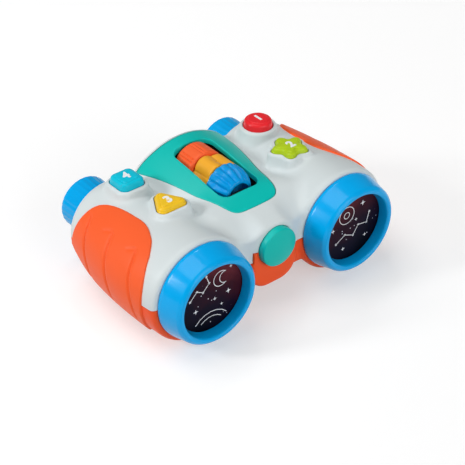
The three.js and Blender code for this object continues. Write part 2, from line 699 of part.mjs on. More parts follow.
const LEDGE_TOP = FLOOR_INSIDE + DOOR_LEDGE_THICKNESS;
const DOOR_SCREW_TIP = LEDGE_TOP + DOOR_SCREW_BITE;
const TRAY_BOTTOM = LEDGE_TOP + CLEARANCE;
const TRAY_ROOF_INSIDE = BATTERY_Z + BATTERY_RADIUS + CLEARANCE;
const TRAY_TOP = TRAY_ROOF_INSIDE + TRAY_WALL;
const MAIN_BOARD_BOTTOM = TRAY_TOP + CLEARANCE;

// Power switch levels and edges
const SWITCH_ROOM_FRONT = BRIDGE_FRONT + WALL + BRIDGE_FRONT_ROUND / 2;
const SWITCH_Y = (SWITCH_ROOM_FRONT + DOOR_FRONT - DOOR_RIM) / 2;
const SWITCH_FLANGE_BOTTOM = FLOOR_INSIDE + CLEARANCE;
const SWITCH_FLANGE_TOP = SWITCH_FLANGE_BOTTOM + SWITCH_FLANGE_THICKNESS;
const SWITCH_BODY_BOTTOM = SWITCH_FLANGE_TOP + CLEARANCE;
const SWITCH_BODY_TOP = SWITCH_BODY_BOTTOM + SWITCH_BODY_HEIGHT;
const SWITCH_FLANGE_HALF_LENGTH = SWITCH_KNOB_LENGTH / 2 + SWITCH_FLANGE;
const SWITCH_FLANGE_HALF_WIDTH = SWITCH_KNOB_WIDTH / 2 + SWITCH_FLANGE;
const SWITCH_REACH = SWITCH_FLANGE_HALF_LENGTH + SWITCH_TRAVEL / 2 + CLEARANCE;
const SWITCH_RAIL_INSIDE = SWITCH_FLANGE_HALF_WIDTH + CLEARANCE;

const POST_X = BARREL_X + POST_LEAN * BELLY_HALF_WIDTH;
const POSTS = [
  { name: 'front_left', x: -POST_X, y: alongBarrel(FRONT_POST_SHARE) },
  { name: 'front_right', x: POST_X, y: alongBarrel(FRONT_POST_SHARE) },
  { name: 'rear_left', x: -POST_X, y: alongBarrel(REAR_POST_SHARE) },
  { name: 'rear_right', x: POST_X, y: alongBarrel(REAR_POST_SHARE) },
];
const SIDES = [{ name: 'left', sign: -1 }, { name: 'right', sign: 1 }];

// Point on a barrel's outer side, from a place along it, an arc round it and a height off its surface
function sidePoint(sign, { x: y, y: arc }, growth) {
  const { outer, top, bottom } = barrelSection(y, growth);
  const angle = arc / BELLY_HALF_WIDTH;
  const height = angle > 0 ? top : bottom;
  const radius = 1 / Math.hypot(Math.cos(angle) / outer, Math.sin(angle) / height);
  return new THREE.Vector3(sign * (BARREL_X + radius * Math.cos(angle)), y, radius * Math.sin(angle));
}

// Leaf of the side grip between its front, top and keel edges, all spread outwards by a clearance
function leafSurface(spread) {
  const corners = [GRIP_TIP, GRIP_BROW, GRIP_HEEL];
  const centre = corners.reduce((sum, { share, arc }) => (
    sum.add(new THREE.Vector2(alongBarrel(share), arc).divideScalar(corners.length))), new THREE.Vector2());
  const at = ({ share, arc }) => {
    const point = new THREE.Vector2(alongBarrel(share), arc);
    return point.addScaledVector(point.clone().sub(centre).normalize(), spread);
  };
  const edge = (places) => new THREE.SplineCurve(places.map(at));
  const front = edge([GRIP_TIP, GRIP_WAIST, GRIP_BROW]);
  const top = edge([GRIP_BROW, GRIP_CROWN, GRIP_SHOULDER, GRIP_HEEL]);
  const keel = edge([GRIP_TIP, GRIP_KEEL, GRIP_HEEL]);
  return (u, v) => {
    const straight = at(GRIP_TIP).lerp(at(GRIP_BROW), v);
    const bulge = front.getPoint(v).sub(straight).multiplyScalar(1 - u);
    return keel.getPoint(u).lerp(top.getPoint(u), v).add(bulge);
  };
}

// Solid leaf on one barrel's side, between two heights off its surface
function leafSolid(sign, innerGrowth, outerGrowth, spread = 0) {
  const surface = leafSurface(spread);
  const vertices = [];
  const faces = [];
  for (const growth of [innerGrowth, outerGrowth]) {
    for (let row = 0; row <= LEAF_ROWS; row++) {
      for (let column = 0; column <= LEAF_COLUMNS; column++) {
        const place = surface(column / LEAF_COLUMNS, row / LEAF_ROWS);
        vertices.push(...sidePoint(sign, place, growth).toArray());
      }
    }
  }
  const under = (row, column) => row * (LEAF_COLUMNS + 1) + column;
  const over = (row, column) => under(row, column) + (LEAF_ROWS + 1) * (LEAF_COLUMNS + 1);
  const addQuad = (a, b, c, d) => faces.push(a, b, c, a, c, d);
  for (let row = 0; row < LEAF_ROWS; row++) {
    const [next, last] = [row + 1, LEAF_COLUMNS];
    for (let column = 0; column < LEAF_COLUMNS; column++) {
      addQuad(over(row, column), over(row, column + 1), over(next, column + 1), over(next, column));
      addQuad(under(row, column), under(next, column), under(next, column + 1), under(row, column + 1));
    }
    addQuad(under(row, 0), over(row, 0), over(next, 0), under(next, 0));
    addQuad(under(row, last), under(next, last), over(next, last), over(row, last));
  }
  for (let column = 0; column < LEAF_COLUMNS; column++) {
    const [next, last] = [column + 1, LEAF_ROWS];
    addQuad(under(0, column), under(0, next), over(0, next), over(0, column));
    addQuad(under(last, column), over(last, column), over(last, next), under(last, next));
  }
  const geometry = new THREE.BufferGeometry();
  geometry.setAttribute('position', new THREE.Float32BufferAttribute(vertices, 3));
  geometry.setIndex(faces);
  return solid(geometry);
}

// Cutter for one flowing groove down the leaf: a hook at the top, then a leaning run, tapered to both ends
function grooveSolid(step, sign) {
  const { share, arc } = GRIP_GROOVE_TOP;
  const y = alongBarrel(share + step * GRIP_GROOVE_PITCH_SHARE);
  const curve = new THREE.SplineCurve([
    new THREE.Vector2(y + GRIP_GROOVE_HOOK, arc - GRIP_GROOVE_WIDTH),
    new THREE.Vector2(y, arc),
    new THREE.Vector2(y - GRIP_GROOVE_LEAN / 2, arc - GRIP_GROOVE_RUN / 2),
    new THREE.Vector2(y - GRIP_GROOVE_LEAN, arc - GRIP_GROOVE_RUN),
  ]);
  const floor = GRIP_RISE - GRIP_GROOVE_DEPTH;
  const lid = GRIP_RISE + OVERCUT;
  const vertices = [];
  const faces = [];
  const addQuad = (a, b, c, d) => faces.push(a, b, c, a, c, d);
  for (let i = 0; i <= GROOVE_STEPS; i++) {
    const centre = curve.getPoint(i / GROOVE_STEPS);
    const tangent = curve.getTangent(i / GROOVE_STEPS);
    const half = GRIP_GROOVE_WIDTH / 2 * Math.sin(Math.PI * (i + 1) / (GROOVE_STEPS + 2));
    const aside = new THREE.Vector2(tangent.y, -tangent.x).multiplyScalar(half);
    const [near, far] = [centre.clone().sub(aside), centre.clone().add(aside)];
    const ring = [[near, floor], [far, floor], [far, lid], [near, lid]];
    for (const [place, growth] of ring) vertices.push(...sidePoint(sign, place, growth).toArray());
  }
  const last = 4 * GROOVE_STEPS;
  for (let i = 0; i < last; i += 4) {
    for (let k = 0; k < 4; k++) addQuad(i + k, i + (k + 1) % 4, i + 4 + (k + 1) % 4, i + 4 + k);
  }
  addQuad(3, 2, 1, 0);
  addQuad(last, last + 1, last + 2, last + 3);
  const geometry = new THREE.BufferGeometry();
  geometry.setAttribute('position', new THREE.Float32BufferAttribute(vertices, 3));
  geometry.setIndex(faces);
  return solid(geometry);
}

function addGrips() {
  for (const { name, sign } of SIDES) {
    let grip = leafSolid(sign, -GRIP_INLAY, GRIP_RISE);
    for (let step = 0; step < GRIP_GROOVES; step++) grip = grip.subtract(grooveSolid(step, sign));
    addPiece(`${name}_side_grip`, grip, ORANGE);
  }
}

// Openings that both shells share: lens bores, eyecup bores, nose seat and grip pockets
function sharedCuts() {
  const pocketFloor = -GRIP_INLAY - CLEARANCE;
  const cuts = SIDES.map(({ sign }) => leafSolid(sign, pocketFloor, GRIP_RISE + OVERCUT, CLEARANCE));
  for (const { sign } of SIDES) {
    const x = sign * BARREL_X;
    cuts.push(bar(x, 0, RING_SPIGOT_RADIUS + CLEARANCE, BARREL_FRONT - OVERCUT, RIB_FRONT));
    const spigotEnd = BARREL_BACK - EYECUP_SPIGOT_LENGTH - OVERCUT;
    cuts.push(bar(x, 0, EYECUP_SPIGOT_RADIUS + CLEARANCE, spigotEnd, BARREL_BACK + OVERCUT, DISC_STEPS));
  }
  cuts.push(bar(0, NOSE_Z, NOSE_RADIUS + CLEARANCE, NOSE_CUP_FRONT - OVERCUT, NOSE_SEAT_BACK));
  return joined(cuts);
}

const SHARED_CUTS = sharedCuts();

// Ribs behind the light boards
function boardRibs() {
  return joined(SIDES.map(({ sign }) => {
    const x = sign * BARREL_X;
    const ribBack = RIB_FRONT + RIB_THICKNESS;
    const slab = box(x - BELLY_HALF_WIDTH, x + BELLY_HALF_WIDTH, RIB_FRONT, ribBack, -FAR, FAR);
    return slab.subtract(bar(x, 0, RIB_HOLE_RADIUS, RIB_FRONT - OVERCUT, ribBack + OVERCUT));
  }));
}

const BOARD_RIBS = boardRibs();

function buttonBoss({ outline, flare }) {
  return loft([
    { outline: grown(outline, BUTTON_COLLAR + flare), z: BUTTON_BOSS_BASE },
    { outline: grown(outline, BUTTON_COLLAR), z: BUTTON_BOSS_TOP },
  ]);
}

function buttonHole({ outline }) {
  const flangeRoom = grown(outline, BUTTON_FLANGE + CLEARANCE);
  const pocket = prism(flangeRoom, BUTTON_BOSS_BASE - OVERCUT, BUTTON_BOSS_FLOOR);
  const throat = prism(grown(outline, CLEARANCE), BUTTON_BOSS_FLOOR - OVERCUT, BUTTON_BOSS_TOP + OVERCUT);
  return pocket.add(throat);
}

function speakerSlots() {
  const wall = BRIDGE_BACK;
  const slots = [];
  for (let i = 0; i < SPEAKER_SLOTS; i++) {
    const x = (i - (SPEAKER_SLOTS - 1) / 2) * SPEAKER_SLOT_PITCH;
    const half = Math.sqrt((SPEAKER_RADIUS - WALL) ** 2 - x ** 2);
    const side = SPEAKER_SLOT_WIDTH / 2;
    const front = wall - WALL - OVERCUT;
    slots.push(box(x - side, x + side, front, wall + OVERCUT, SPEAKER_Z - half, SPEAKER_Z + half));
  }
  return joined(slots);
}

function addUpperShell() {
  const inside = bodyHalf(1, -WALL / 2, COARSE);
  let shell = bodyHalf(1, 0).subtract(bodyHalf(1, -WALL, COARSE));
  const inner = [BOARD_RIBS];
  for (const { x, y } of POSTS) inner.push(post(x, y, POST_RADIUS, 0, FAR));
  const postFoot = BUTTON_BOARD_TOP + CLEARANCE;
  for (const { sign } of SIDES) {
    inner.push(post(sign * BOARD_POST_X, BOARD_POST_Y, BOARD_POST_RADIUS, postFoot, FAR));
  }
  const speakerBack = BRIDGE_BACK - WALL / 2;
  const cupFront = BRIDGE_BACK - WALL - SPEAKER_DEPTH / 2;
  const speakerCup = bar(0, SPEAKER_Z, SPEAKER_RADIUS + CLEARANCE + CRADLE_WALL, cupFront, speakerBack)
    .subtract(bar(0, SPEAKER_Z, SPEAKER_RADIUS + CLEARANCE, cupFront - OVERCUT, speakerBack + OVERCUT));
  inner.push(speakerCup);
  shell = shell.add(joined(inner).intersect(inside));
  const nose = bar(0, NOSE_Z, NOSE_CUP_RADIUS, NOSE_CUP_FRONT, NOSE_CUP_BACK)
    .intersect(box(-FAR, FAR, -FAR, FAR, NOSE_Z, FAR));
  shell = shell.add(nose).add(joined(BUTTONS.map(buttonBoss)));
  const side = NOSE_CUP_RADIUS + CLEARANCE;
  const cuts = [
    prism(grown(PANEL, CLEARANCE), NOSE_Z, FAR),
    box(-FAR, FAR, -FAR, FAR, -FAR, PARTING_GAP / 2),
    box(-side, side, -FAR, NOSE_CUP_BACK + CLEARANCE, -FAR, NOSE_Z + PARTING_GAP / 2),
    speakerSlots(),
    ...BUTTONS.map(buttonHole),
    ...POSTS.map(({ x, y }) => post(x, y, SCREW_SHANK_RADIUS + CLEARANCE, -OVERCUT, SCREW_BITE + OVERCUT)),
  ];
  shell = shell.subtract(SHARED_CUTS).subtract(joined(cuts));
  addPiece('upper_shell', shell, WHITE);
}

function addLowerShell() {
  const inside = bodyHalf(-1, -WALL / 2, COARSE);
  let shell = bodyHalf(-1, 0).subtract(bodyHalf(-1, -WALL, COARSE));
  const inner = [BOARD_RIBS];
  for (const { x, y } of POSTS) inner.push(post(x, y, POST_RADIUS, -FAR, 0));
  const rail = SWITCH_RAIL_INSIDE + TRAY_WALL;
  for (const sign of [-1, 1]) {
    const y0 = Math.min(sign * SWITCH_RAIL_INSIDE, sign * rail);
    const y1 = Math.max(sign * SWITCH_RAIL_INSIDE, sign * rail);
    inner.push(box(-SWITCH_REACH, SWITCH_REACH, SWITCH_Y + y0, SWITCH_Y + y1, -FAR, SWITCH_BODY_TOP));
  }
  const ledgeHalfWidth = DOOR_HALF_WIDTH + DOOR_RIM;
  inner.push(box(
    -ledgeHalfWidth, ledgeHalfWidth, DOOR_FRONT - DOOR_RIM, DOOR_BACK + DOOR_RIM, -FAR, LEDGE_TOP));
  inner.push(post(0, DOOR_SCREW_Y, DOOR_SCREW_POST_RADIUS, -FAR, LEDGE_TOP + DOOR_SCREW_POST_HEIGHT));
  shell = shell.add(joined(inner).intersect(inside));
  const cup = bar(0, NOSE_Z, NOSE_CUP_RADIUS, NOSE_CUP_FRONT, NOSE_CUP_BACK)
    .add(box(-NOSE_CUP_RADIUS, NOSE_CUP_RADIUS, NOSE_CUP_FRONT, NOSE_CUP_BACK, -NOSE_Z, NOSE_Z))
    .intersect(box(-FAR, FAR, -FAR, FAR, -FAR, NOSE_Z - PARTING_GAP / 2));
  const knobHalf = SWITCH_KNOB_LENGTH / 2 + SWITCH_TRAVEL / 2 + CLEARANCE;
  const knobSide = SWITCH_KNOB_WIDTH / 2 + CLEARANCE;
  const seam = box(-FAR, FAR, -FAR, FAR, -PARTING_GAP / 2, FAR);
  const cuts = [
    box(-BAY_HALF_WIDTH, BAY_HALF_WIDTH, BAY_FRONT, BAY_BACK, -FAR, FAR),
    box(-DOOR_HALF_WIDTH, DOOR_HALF_WIDTH, DOOR_FRONT, DOOR_BACK, -FAR, FLOOR_INSIDE),
    post(0, DOOR_SCREW_Y, DOOR_SCREW_RADIUS + CLEARANCE, FLOOR_OUTSIDE, DOOR_SCREW_TIP + CLEARANCE),
    box(-knobHalf, knobHalf, SWITCH_Y - knobSide, SWITCH_Y + knobSide, -FAR, SWITCH_BODY_BOTTOM),
    ...POSTS.map(({ x, y }) => post(x, y, SCREW_SHANK_RADIUS + CLEARANCE, -FAR, OVERCUT)),
    ...POSTS.map(({ x, y }) => post(x, y, SCREW_HEAD_RADIUS + CLEARANCE, -FAR, -SCREW_SEAT_DEPTH)),
  ];
  shell = shell.subtract(seam).add(cup).subtract(SHARED_CUTS).subtract(joined(cuts));
  addPiece('lower_shell', shell, ORANGE);
}

function addTopPanel() {
  const skin = bodyHalf(1, 0).subtract(bodyHalf(1, -PANEL_THICKNESS, COARSE));
  addPiece('top_panel', skin.intersect(prism(PANEL, 0, FAR)).subtract(prism(WINDOW, 0, FAR)), MINT);
}

// Three rollers with their own grips on one axle in a trough under the panel
function roller(outline, start, nose) {
  const end = start + ROLLER_LENGTH;
  const centred = (inset) => outline.map((point) => point.clone().multiplyScalar(1 - inset / ROLLER_RADIUS));
  const geometry = loftGeometry([
    { outline: centred(nose.inset), z: start },
    { outline: centred(nose.inset / 4), z: start + nose.length / 2 },
    { outline: centred(0), z: start + nose.length },
    { outline: centred(0), z: end - ROLLER_EDGE },
    { outline: centred(ROLLER_EDGE), z: end },
  ]);
  geometry.rotateX(-Math.PI / 2);
  geometry.translate(0, 0, ROLLER_AXIS_Z);
  const bore = bar(0, ROLLER_AXIS_Z, AXLE_RADIUS + CLEARANCE, start - OVERCUT, end + OVERCUT, SMALL_STEPS);
  return solid(geometry).subtract(bore);
}

// Solid with a U-shaped section, open upwards, round under the rollers' axis
function trough(radius, y0, y1) {
  const shape = new THREE.Shape();
  shape.moveTo(radius, FAR);
  shape.lineTo(-radius, FAR);
  shape.absarc(0, ROLLER_AXIS_Z, radius, Math.PI, 2 * Math.PI);
  const outline = outlineOf(shape, DISC_STEPS / 2);
  const geometry = loftGeometry([{ outline, z: -y1 }, { outline, z: -y0 }]);
  geometry.rotateX(Math.PI / 2);
  return solid(geometry);
}

function addRollers() {
  const wave = (depth, count) => (angle) => ROLLER_RADIUS - depth / 2 + depth / 2 * Math.cos(count * angle);
  const petal = (depth, count) => (angle) => (
    ROLLER_RADIUS - depth + depth * Math.abs(Math.cos(count * angle / 2)));
  const waves = polarOutline(wave(WAVE_DEPTH, WAVE_COUNT), 4 * WAVE_COUNT);
  const lobes = polarOutline(petal(LOBE_DEPTH, LOBE_COUNT), 8 * LOBE_COUNT);
  const ribs = polarOutline(wave(RIB_DEPTH, RIB_COUNT), 3 * RIB_COUNT);
  const taper = { inset: ROLLER_NOSE_INSET, length: ROLLER_NOSE_LENGTH };
  const edge = { inset: ROLLER_EDGE, length: ROLLER_EDGE };
  const rollers = [
    { name: 'wavy_roller', outline: waves, nose: taper, finish: BLUE },
    { name: 'lobed_roller', outline: lobes, nose: edge, finish: YELLOW },
    { name: 'ribbed_roller', outline: ribs, nose: edge, finish: ORANGE },
  ];
  rollers.forEach(({ name, outline, nose, finish }, i) => {
    const start = ROLLERS_FRONT + i * (ROLLER_LENGTH + ROLLER_GAP);
    addPiece(name, roller(outline, start, nose), finish);
  });
  const cradleFront = WINDOW_FRONT + CLEARANCE;
  const cradleBack = WINDOW_BACK - CLEARANCE;
  addPiece('roller_axle', bar(0, ROLLER_AXIS_Z, AXLE_RADIUS, cradleFront, cradleBack, SMALL_STEPS), STEEL);
  const troughRadius = ROLLER_RADIUS + CRADLE_RUNNING_GAP;
  const outer = trough(troughRadius + CRADLE_WALL, cradleFront, cradleBack);
  const inner = trough(troughRadius, cradleFront + CRADLE_WALL, cradleBack - CRADLE_WALL);
  const lugs = bar(0, ROLLER_AXIS_Z, AXLE_RADIUS + CRADLE_WALL, cradleFront, cradleBack, SMALL_STEPS);
  const feet = [ROLLERS_FRONT, ROLLERS_BACK].map((y) => box(
    -CRADLE_FOOT_HALF_WIDTH, CRADLE_FOOT_HALF_WIDTH, y - CRADLE_FOOT_LENGTH / 2, y + CRADLE_FOOT_LENGTH / 2,
    MAIN_BOARD_BOTTOM + BOARD_THICKNESS + CLEARANCE, ROLLER_AXIS_Z - troughRadius));
  const roof = bodyHalf(1, -PANEL_THICKNESS - CLEARANCE, COARSE);
  const [boreFront, boreBack] = [cradleFront - OVERCUT, cradleBack + OVERCUT];
  const bore = bar(0, ROLLER_AXIS_Z, AXLE_RADIUS + CLEARANCE, boreFront, boreBack, SMALL_STEPS);
  const cradle = outer.intersect(roof).add(lugs).add(joined(feet)).subtract(inner).subtract(bore);
  addPiece('roller_cradle', cradle, GREY);
}

// Press buttons, their switches and the two switch boards
function addButtons() {
  for (const { name, x, y, outline, rise, finish } of BUTTONS) {
    const top = BUTTON_BOSS_TOP + rise;
    const cap = loft([
      { outline, z: FLANGE_BOTTOM },
      { outline, z: top - BUTTON_ROUND },
      { outline: grown(outline, -BUTTON_ROUND / 4), z: top - BUTTON_ROUND / 3 },
      { outline: grown(outline, -BUTTON_ROUND), z: top },
    ]);
    const flange = prism(grown(outline, BUTTON_FLANGE), FLANGE_BOTTOM, FLANGE_TOP);
    const stem = post(x, y, BUTTON_STEM_RADIUS, STEM_BOTTOM, FLANGE_TOP);
    addPiece(name, cap.add(flange).add(stem), finish);
    const half = TACT_SWITCH_SIDE / 2;
    const tact = box(x - half, x + half, y - half, y + half, TACT_BOTTOM, TACT_BOTTOM + TACT_SWITCH_HEIGHT)
      .add(post(x, y, BUTTON_STEM_RADIUS / 2, TACT_BOTTOM, PLUNGER_TOP));
    addPiece(`${name}_switch`, tact, DARK);
  }
  for (const { name, sign } of SIDES) {
    const x0 = sign * BOARD_POST_X - BUTTON_BOARD_HALF_WIDTH;
    const x1 = sign * BOARD_POST_X + BUTTON_BOARD_HALF_WIDTH;
    const y0 = FRONT_BUTTON_Y - BUTTON_BOARD_MARGIN;
    const y1 = REAR_BUTTON_Y + BUTTON_BOARD_MARGIN;
    const board = box(x0, x1, y0, y1, BUTTON_BOARD_TOP - BOARD_THICKNESS, BUTTON_BOARD_TOP);
    addPiece(`${name}_button_board`, board, BOARD_GREEN);
  }
}

// Lens ring, printed disc, reflector, light board and lamp of each barrel
function addLenses() {
  for (const { name, sign } of SIDES) {
    const x = sign * BARREL_X;
    const seat = BARREL_FRONT - CLEARANCE;
    addPiece(`${name}_lens_ring`, turned([
      [RING_BASE_RADIUS, seat],
      [RING_BASE_RADIUS, seat - RING_BASE_BAND],
      [RING_RIM_RADIUS, FRONT + RING_RIM_ROUND],
      [RING_RIM_RADIUS - RING_RIM_ROUND, FRONT],
      [RING_OPENING_RADIUS + RING_RIM_ROUND / 2, FRONT],
      [RING_OPENING_RADIUS, FRONT + RING_RIM_ROUND / 2],
      [RING_OPENING_RADIUS - LENS_LIP, FRONT + LENS_DEPTH],
      [RING_BORE_RADIUS, FRONT + LENS_DEPTH],
      [RING_BORE_RADIUS, LIGHT_BOARD_BACK],
      [RING_SPIGOT_RADIUS, LIGHT_BOARD_BACK],
      [RING_SPIGOT_RADIUS, seat],
    ], x, 0), BLUE);
    addPiece(`${name}_lens_disc`, bar(x, 0, RING_FIT_RADIUS, LENS_FRONT, LENS_BACK, DISC_STEPS), LENS_DARK);
    addPiece(`${name}_reflector`, turned([
      [RING_FIT_RADIUS, REFLECTOR_FRONT],
      [RING_FIT_RADIUS, REFLECTOR_BACK],
      [REFLECTOR_THROAT, REFLECTOR_BACK],
      [RING_FIT_RADIUS - REFLECTOR_WALL, REFLECTOR_FRONT],
    ], x, 0, DISC_STEPS), WHITE);
    const board = bar(x, 0, RING_FIT_RADIUS, LIGHT_BOARD_FRONT, LIGHT_BOARD_BACK, DISC_STEPS);
    addPiece(`${name}_light_board`, board, BOARD_GREEN);
    const foot = LIGHT_BOARD_FRONT - CLEARANCE;
    const shoulder = foot - LED_HEIGHT + LED_RADIUS;
    const lamp = [[0, foot], [LED_RADIUS, foot], ...dome(LED_RADIUS, shoulder, -LED_RADIUS)];
    addPiece(`${name}_lamp`, turned(lamp, x, 0, SMALL_STEPS), CLEAR);
  }
}

// Fluted eyecups with a clear eyepiece lens
function addEyecups() {
  const seat = BARREL_BACK + CLEARANCE;
  const lensSeat = BACK - EYE_LENS_DEPTH;
  const spigotEnd = BARREL_BACK - EYECUP_SPIGOT_LENGTH;
  const outlineAt = (radius, flute) => polarOutline(
    (angle) => radius - flute / 2 + flute / 2 * Math.cos(EYECUP_FLUTES * angle), 3 * EYECUP_FLUTES);
  for (const { name, sign } of SIDES) {
    const x = sign * BARREL_X;
    const geometry = loftGeometry([
      { outline: outlineAt(EYECUP_NECK_RADIUS, EYECUP_FLUTE_DEPTH), z: seat },
      { outline: outlineAt(EYECUP_RADIUS, EYECUP_FLUTE_DEPTH), z: BACK - EYECUP_ROUND },
      { outline: outlineAt(EYECUP_RADIUS - EYECUP_ROUND, 0), z: BACK },
    ]);
    geometry.rotateX(-Math.PI / 2);
    geometry.translate(x, 0, 0);
    const hollow = turned([
      [0, BACK + OVERCUT],
      [EYECUP_LIP_RADIUS, BACK + OVERCUT],
      [EYECUP_LIP_RADIUS, BACK - OVERCUT],
      [EYE_LENS_RADIUS + CLEARANCE, lensSeat + EYE_LENS_THICKNESS],
      [EYE_LENS_RADIUS + CLEARANCE, lensSeat],
      [EYECUP_BORE_RADIUS, lensSeat],
      [EYECUP_BORE_RADIUS, spigotEnd - OVERCUT],
      [0, spigotEnd - OVERCUT],
    ], x, 0, DISC_STEPS);
    const spigot = bar(x, 0, EYECUP_SPIGOT_RADIUS, spigotEnd, seat + OVERCUT, DISC_STEPS);
    addPiece(`${name}_eyecup`, solid(geometry).add(spigot).subtract(hollow), BLUE);
    const lensFront = lensSeat + CLEARANCE;
    const lens = [
      [0, lensFront],
      [EYE_LENS_RADIUS, lensFront],
      ...dome(EYE_LENS_RADIUS, lensFront + EYE_LENS_THICKNESS, EYE_LENS_CROWN),
    ];
    addPiece(`${name}_eyepiece_lens`, turned(lens, x, 0, DISC_STEPS), CLEAR);
  }
}

function addNoseCap() {
  const back = NOSE_SEAT_BACK - CLEARANCE;
  const rim = NOSE_CUP_FRONT - NOSE_RISE;
  const profile = [[0, back], [NOSE_RADIUS, back], ...dome(NOSE_RADIUS, rim, -NOSE_DOME)];
  addPiece('nose_cap', turned(profile, 0, NOSE_Z), MINT);
}

// Batteries, their tray, contacts, door and the main board above them
function addBatteryBay() {
  const side = BAY_HALF_WIDTH + TRAY_WALL;
  const trayMouth = TRAY_BOTTOM - OVERCUT;
  const tray = box(-side, side, BAY_FRONT - TRAY_WALL, BAY_BACK + TRAY_WALL, TRAY_BOTTOM, TRAY_TOP)
    .subtract(box(-BAY_HALF_WIDTH, BAY_HALF_WIDTH, BAY_FRONT, BAY_BACK, trayMouth, TRAY_ROOF_INSIDE));
  addPiece('battery_tray', tray, DARK);
  for (const { name, sign } of SIDES) {
    const x = sign * BATTERY_PITCH / 2;
    const end = BATTERY_BACK - BATTERY_NUB;
    const battery = turned([
      [0, BATTERY_FRONT],
      [BATTERY_RADIUS, BATTERY_FRONT],
      [BATTERY_RADIUS, end],
      [BATTERY_RADIUS / 3, end],
      [BATTERY_RADIUS / 3, BATTERY_BACK],
      [0, BATTERY_BACK],
    ], x, BATTERY_Z, SMALL_STEPS);
    addPiece(`${name}_battery`, battery, GREY);
  }
  const half = BAY_HALF_WIDTH - CLEARANCE;
  const z0 = TRAY_BOTTOM + CLEARANCE;
  const z1 = TRAY_ROOF_INSIDE - CLEARANCE;
  const frontFace = BATTERY_FRONT - CLEARANCE;
  const backFace = BATTERY_BACK + CLEARANCE;
  addPiece('front_contact', box(-half, half, frontFace - CONTACT_THICKNESS, frontFace, z0, z1), STEEL);
  addPiece('rear_contact', box(-half, half, backFace, backFace + CONTACT_THICKNESS, z0, z1), STEEL);
  const edge = DOOR_HALF_WIDTH - CLEARANCE;
  const headTop = FLOOR_OUTSIDE + DOOR_SCREW_HEAD_HEIGHT;
  const door = box(-edge, edge, DOOR_FRONT + CLEARANCE, DOOR_BACK - CLEARANCE, FLOOR_OUTSIDE, DOOR_TOP)
    .subtract(post(0, DOOR_SCREW_Y, DOOR_SCREW_RADIUS + CLEARANCE, -FAR, FAR))
    .subtract(post(0, DOOR_SCREW_Y, DOOR_SCREW_HEAD_RADIUS + CLEARANCE, -FAR, headTop + CLEARANCE));
  addPiece('battery_door', door, ORANGE);
  const doorScrew = post(0, DOOR_SCREW_Y, DOOR_SCREW_HEAD_RADIUS, FLOOR_OUTSIDE, headTop)
    .add(post(0, DOOR_SCREW_Y, DOOR_SCREW_RADIUS, FLOOR_OUTSIDE, DOOR_SCREW_TIP));
  addPiece('battery_door_screw', doorScrew, STEEL);
  addPiece('main_circuit_board', box(
    -MAIN_BOARD_HALF_WIDTH, MAIN_BOARD_HALF_WIDTH, BAY_FRONT, DOOR_BACK,
    MAIN_BOARD_BOTTOM, MAIN_BOARD_BOTTOM + BOARD_THICKNESS), BOARD_GREEN);
}

function addPowerSwitch() {
  const x = -SWITCH_TRAVEL / 2;
  const knobHalf = SWITCH_KNOB_LENGTH / 2;
  const knobSide = SWITCH_KNOB_WIDTH / 2;
  const knob = box(
    x - knobHalf, x + knobHalf, SWITCH_Y - knobSide, SWITCH_Y + knobSide,
    FLOOR_OUTSIDE - SWITCH_KNOB_DROP, SWITCH_FLANGE_TOP);
  const flange = box(
    x - SWITCH_FLANGE_HALF_LENGTH, x + SWITCH_FLANGE_HALF_LENGTH,
    SWITCH_Y - SWITCH_FLANGE_HALF_WIDTH, SWITCH_Y + SWITCH_FLANGE_HALF_WIDTH,
    SWITCH_FLANGE_BOTTOM, SWITCH_FLANGE_TOP);
  addPiece('power_switch_knob', knob.add(flange), DARK);
  const side = SWITCH_RAIL_INSIDE - CLEARANCE;
  const body = box(
    -SWITCH_REACH, SWITCH_REACH, SWITCH_Y - side, SWITCH_Y + side, SWITCH_BODY_BOTTOM, SWITCH_BODY_TOP);
  addPiece('power_switch_body', body, DARK);
}

function addSpeaker() {
  const face = BRIDGE_BACK - WALL - CLEARANCE;
  addPiece('speaker', turned([
    [0, face - SPEAKER_DEPTH],
    [SPEAKER_RADIUS / 2, face - SPEAKER_DEPTH],
    [SPEAKER_RADIUS / 2, face - SPEAKER_DEPTH / 2],
    [SPEAKER_RADIUS, face - SPEAKER_DEPTH / 4],
    [SPEAKER_RADIUS, face],
    [0, face],
  ], 0, SPEAKER_Z, DISC_STEPS), DARK);
}

function addCaseScrews() {
  const seat = -SCREW_SEAT_DEPTH - CLEARANCE;
  for (const { name, x, y } of POSTS) {
    const screw = post(x, y, SCREW_HEAD_RADIUS, seat - SCREW_HEAD_HEIGHT, seat)
      .add(post(x, y, SCREW_SHANK_RADIUS, seat - SCREW_HEAD_HEIGHT / 2, SCREW_BITE));
    addPiece(`${name}_case_screw`, screw, STEEL);
  }
}

addUpperShell();
addLowerShell();
addTopPanel();
addGrips();
addNoseCap();
addLenses();
addEyecups();
addButtons();
addRollers();
addBatteryBay();
addPowerSwitch();
addSpeaker();
addCaseScrews();

export default binoculars;
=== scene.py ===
"""Looks of the toy binoculars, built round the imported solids.

Shapes are worked out in millimetres from the barrel axis, then seated in the frame in metres.
"""

import logging
import math
from dataclasses import dataclass
from enum import Enum
from typing import Any, Callable, Iterable, Sequence

import bmesh
import bpy
from mathutils import Matrix, Vector
from mathutils.geometry import interpolate_bezier


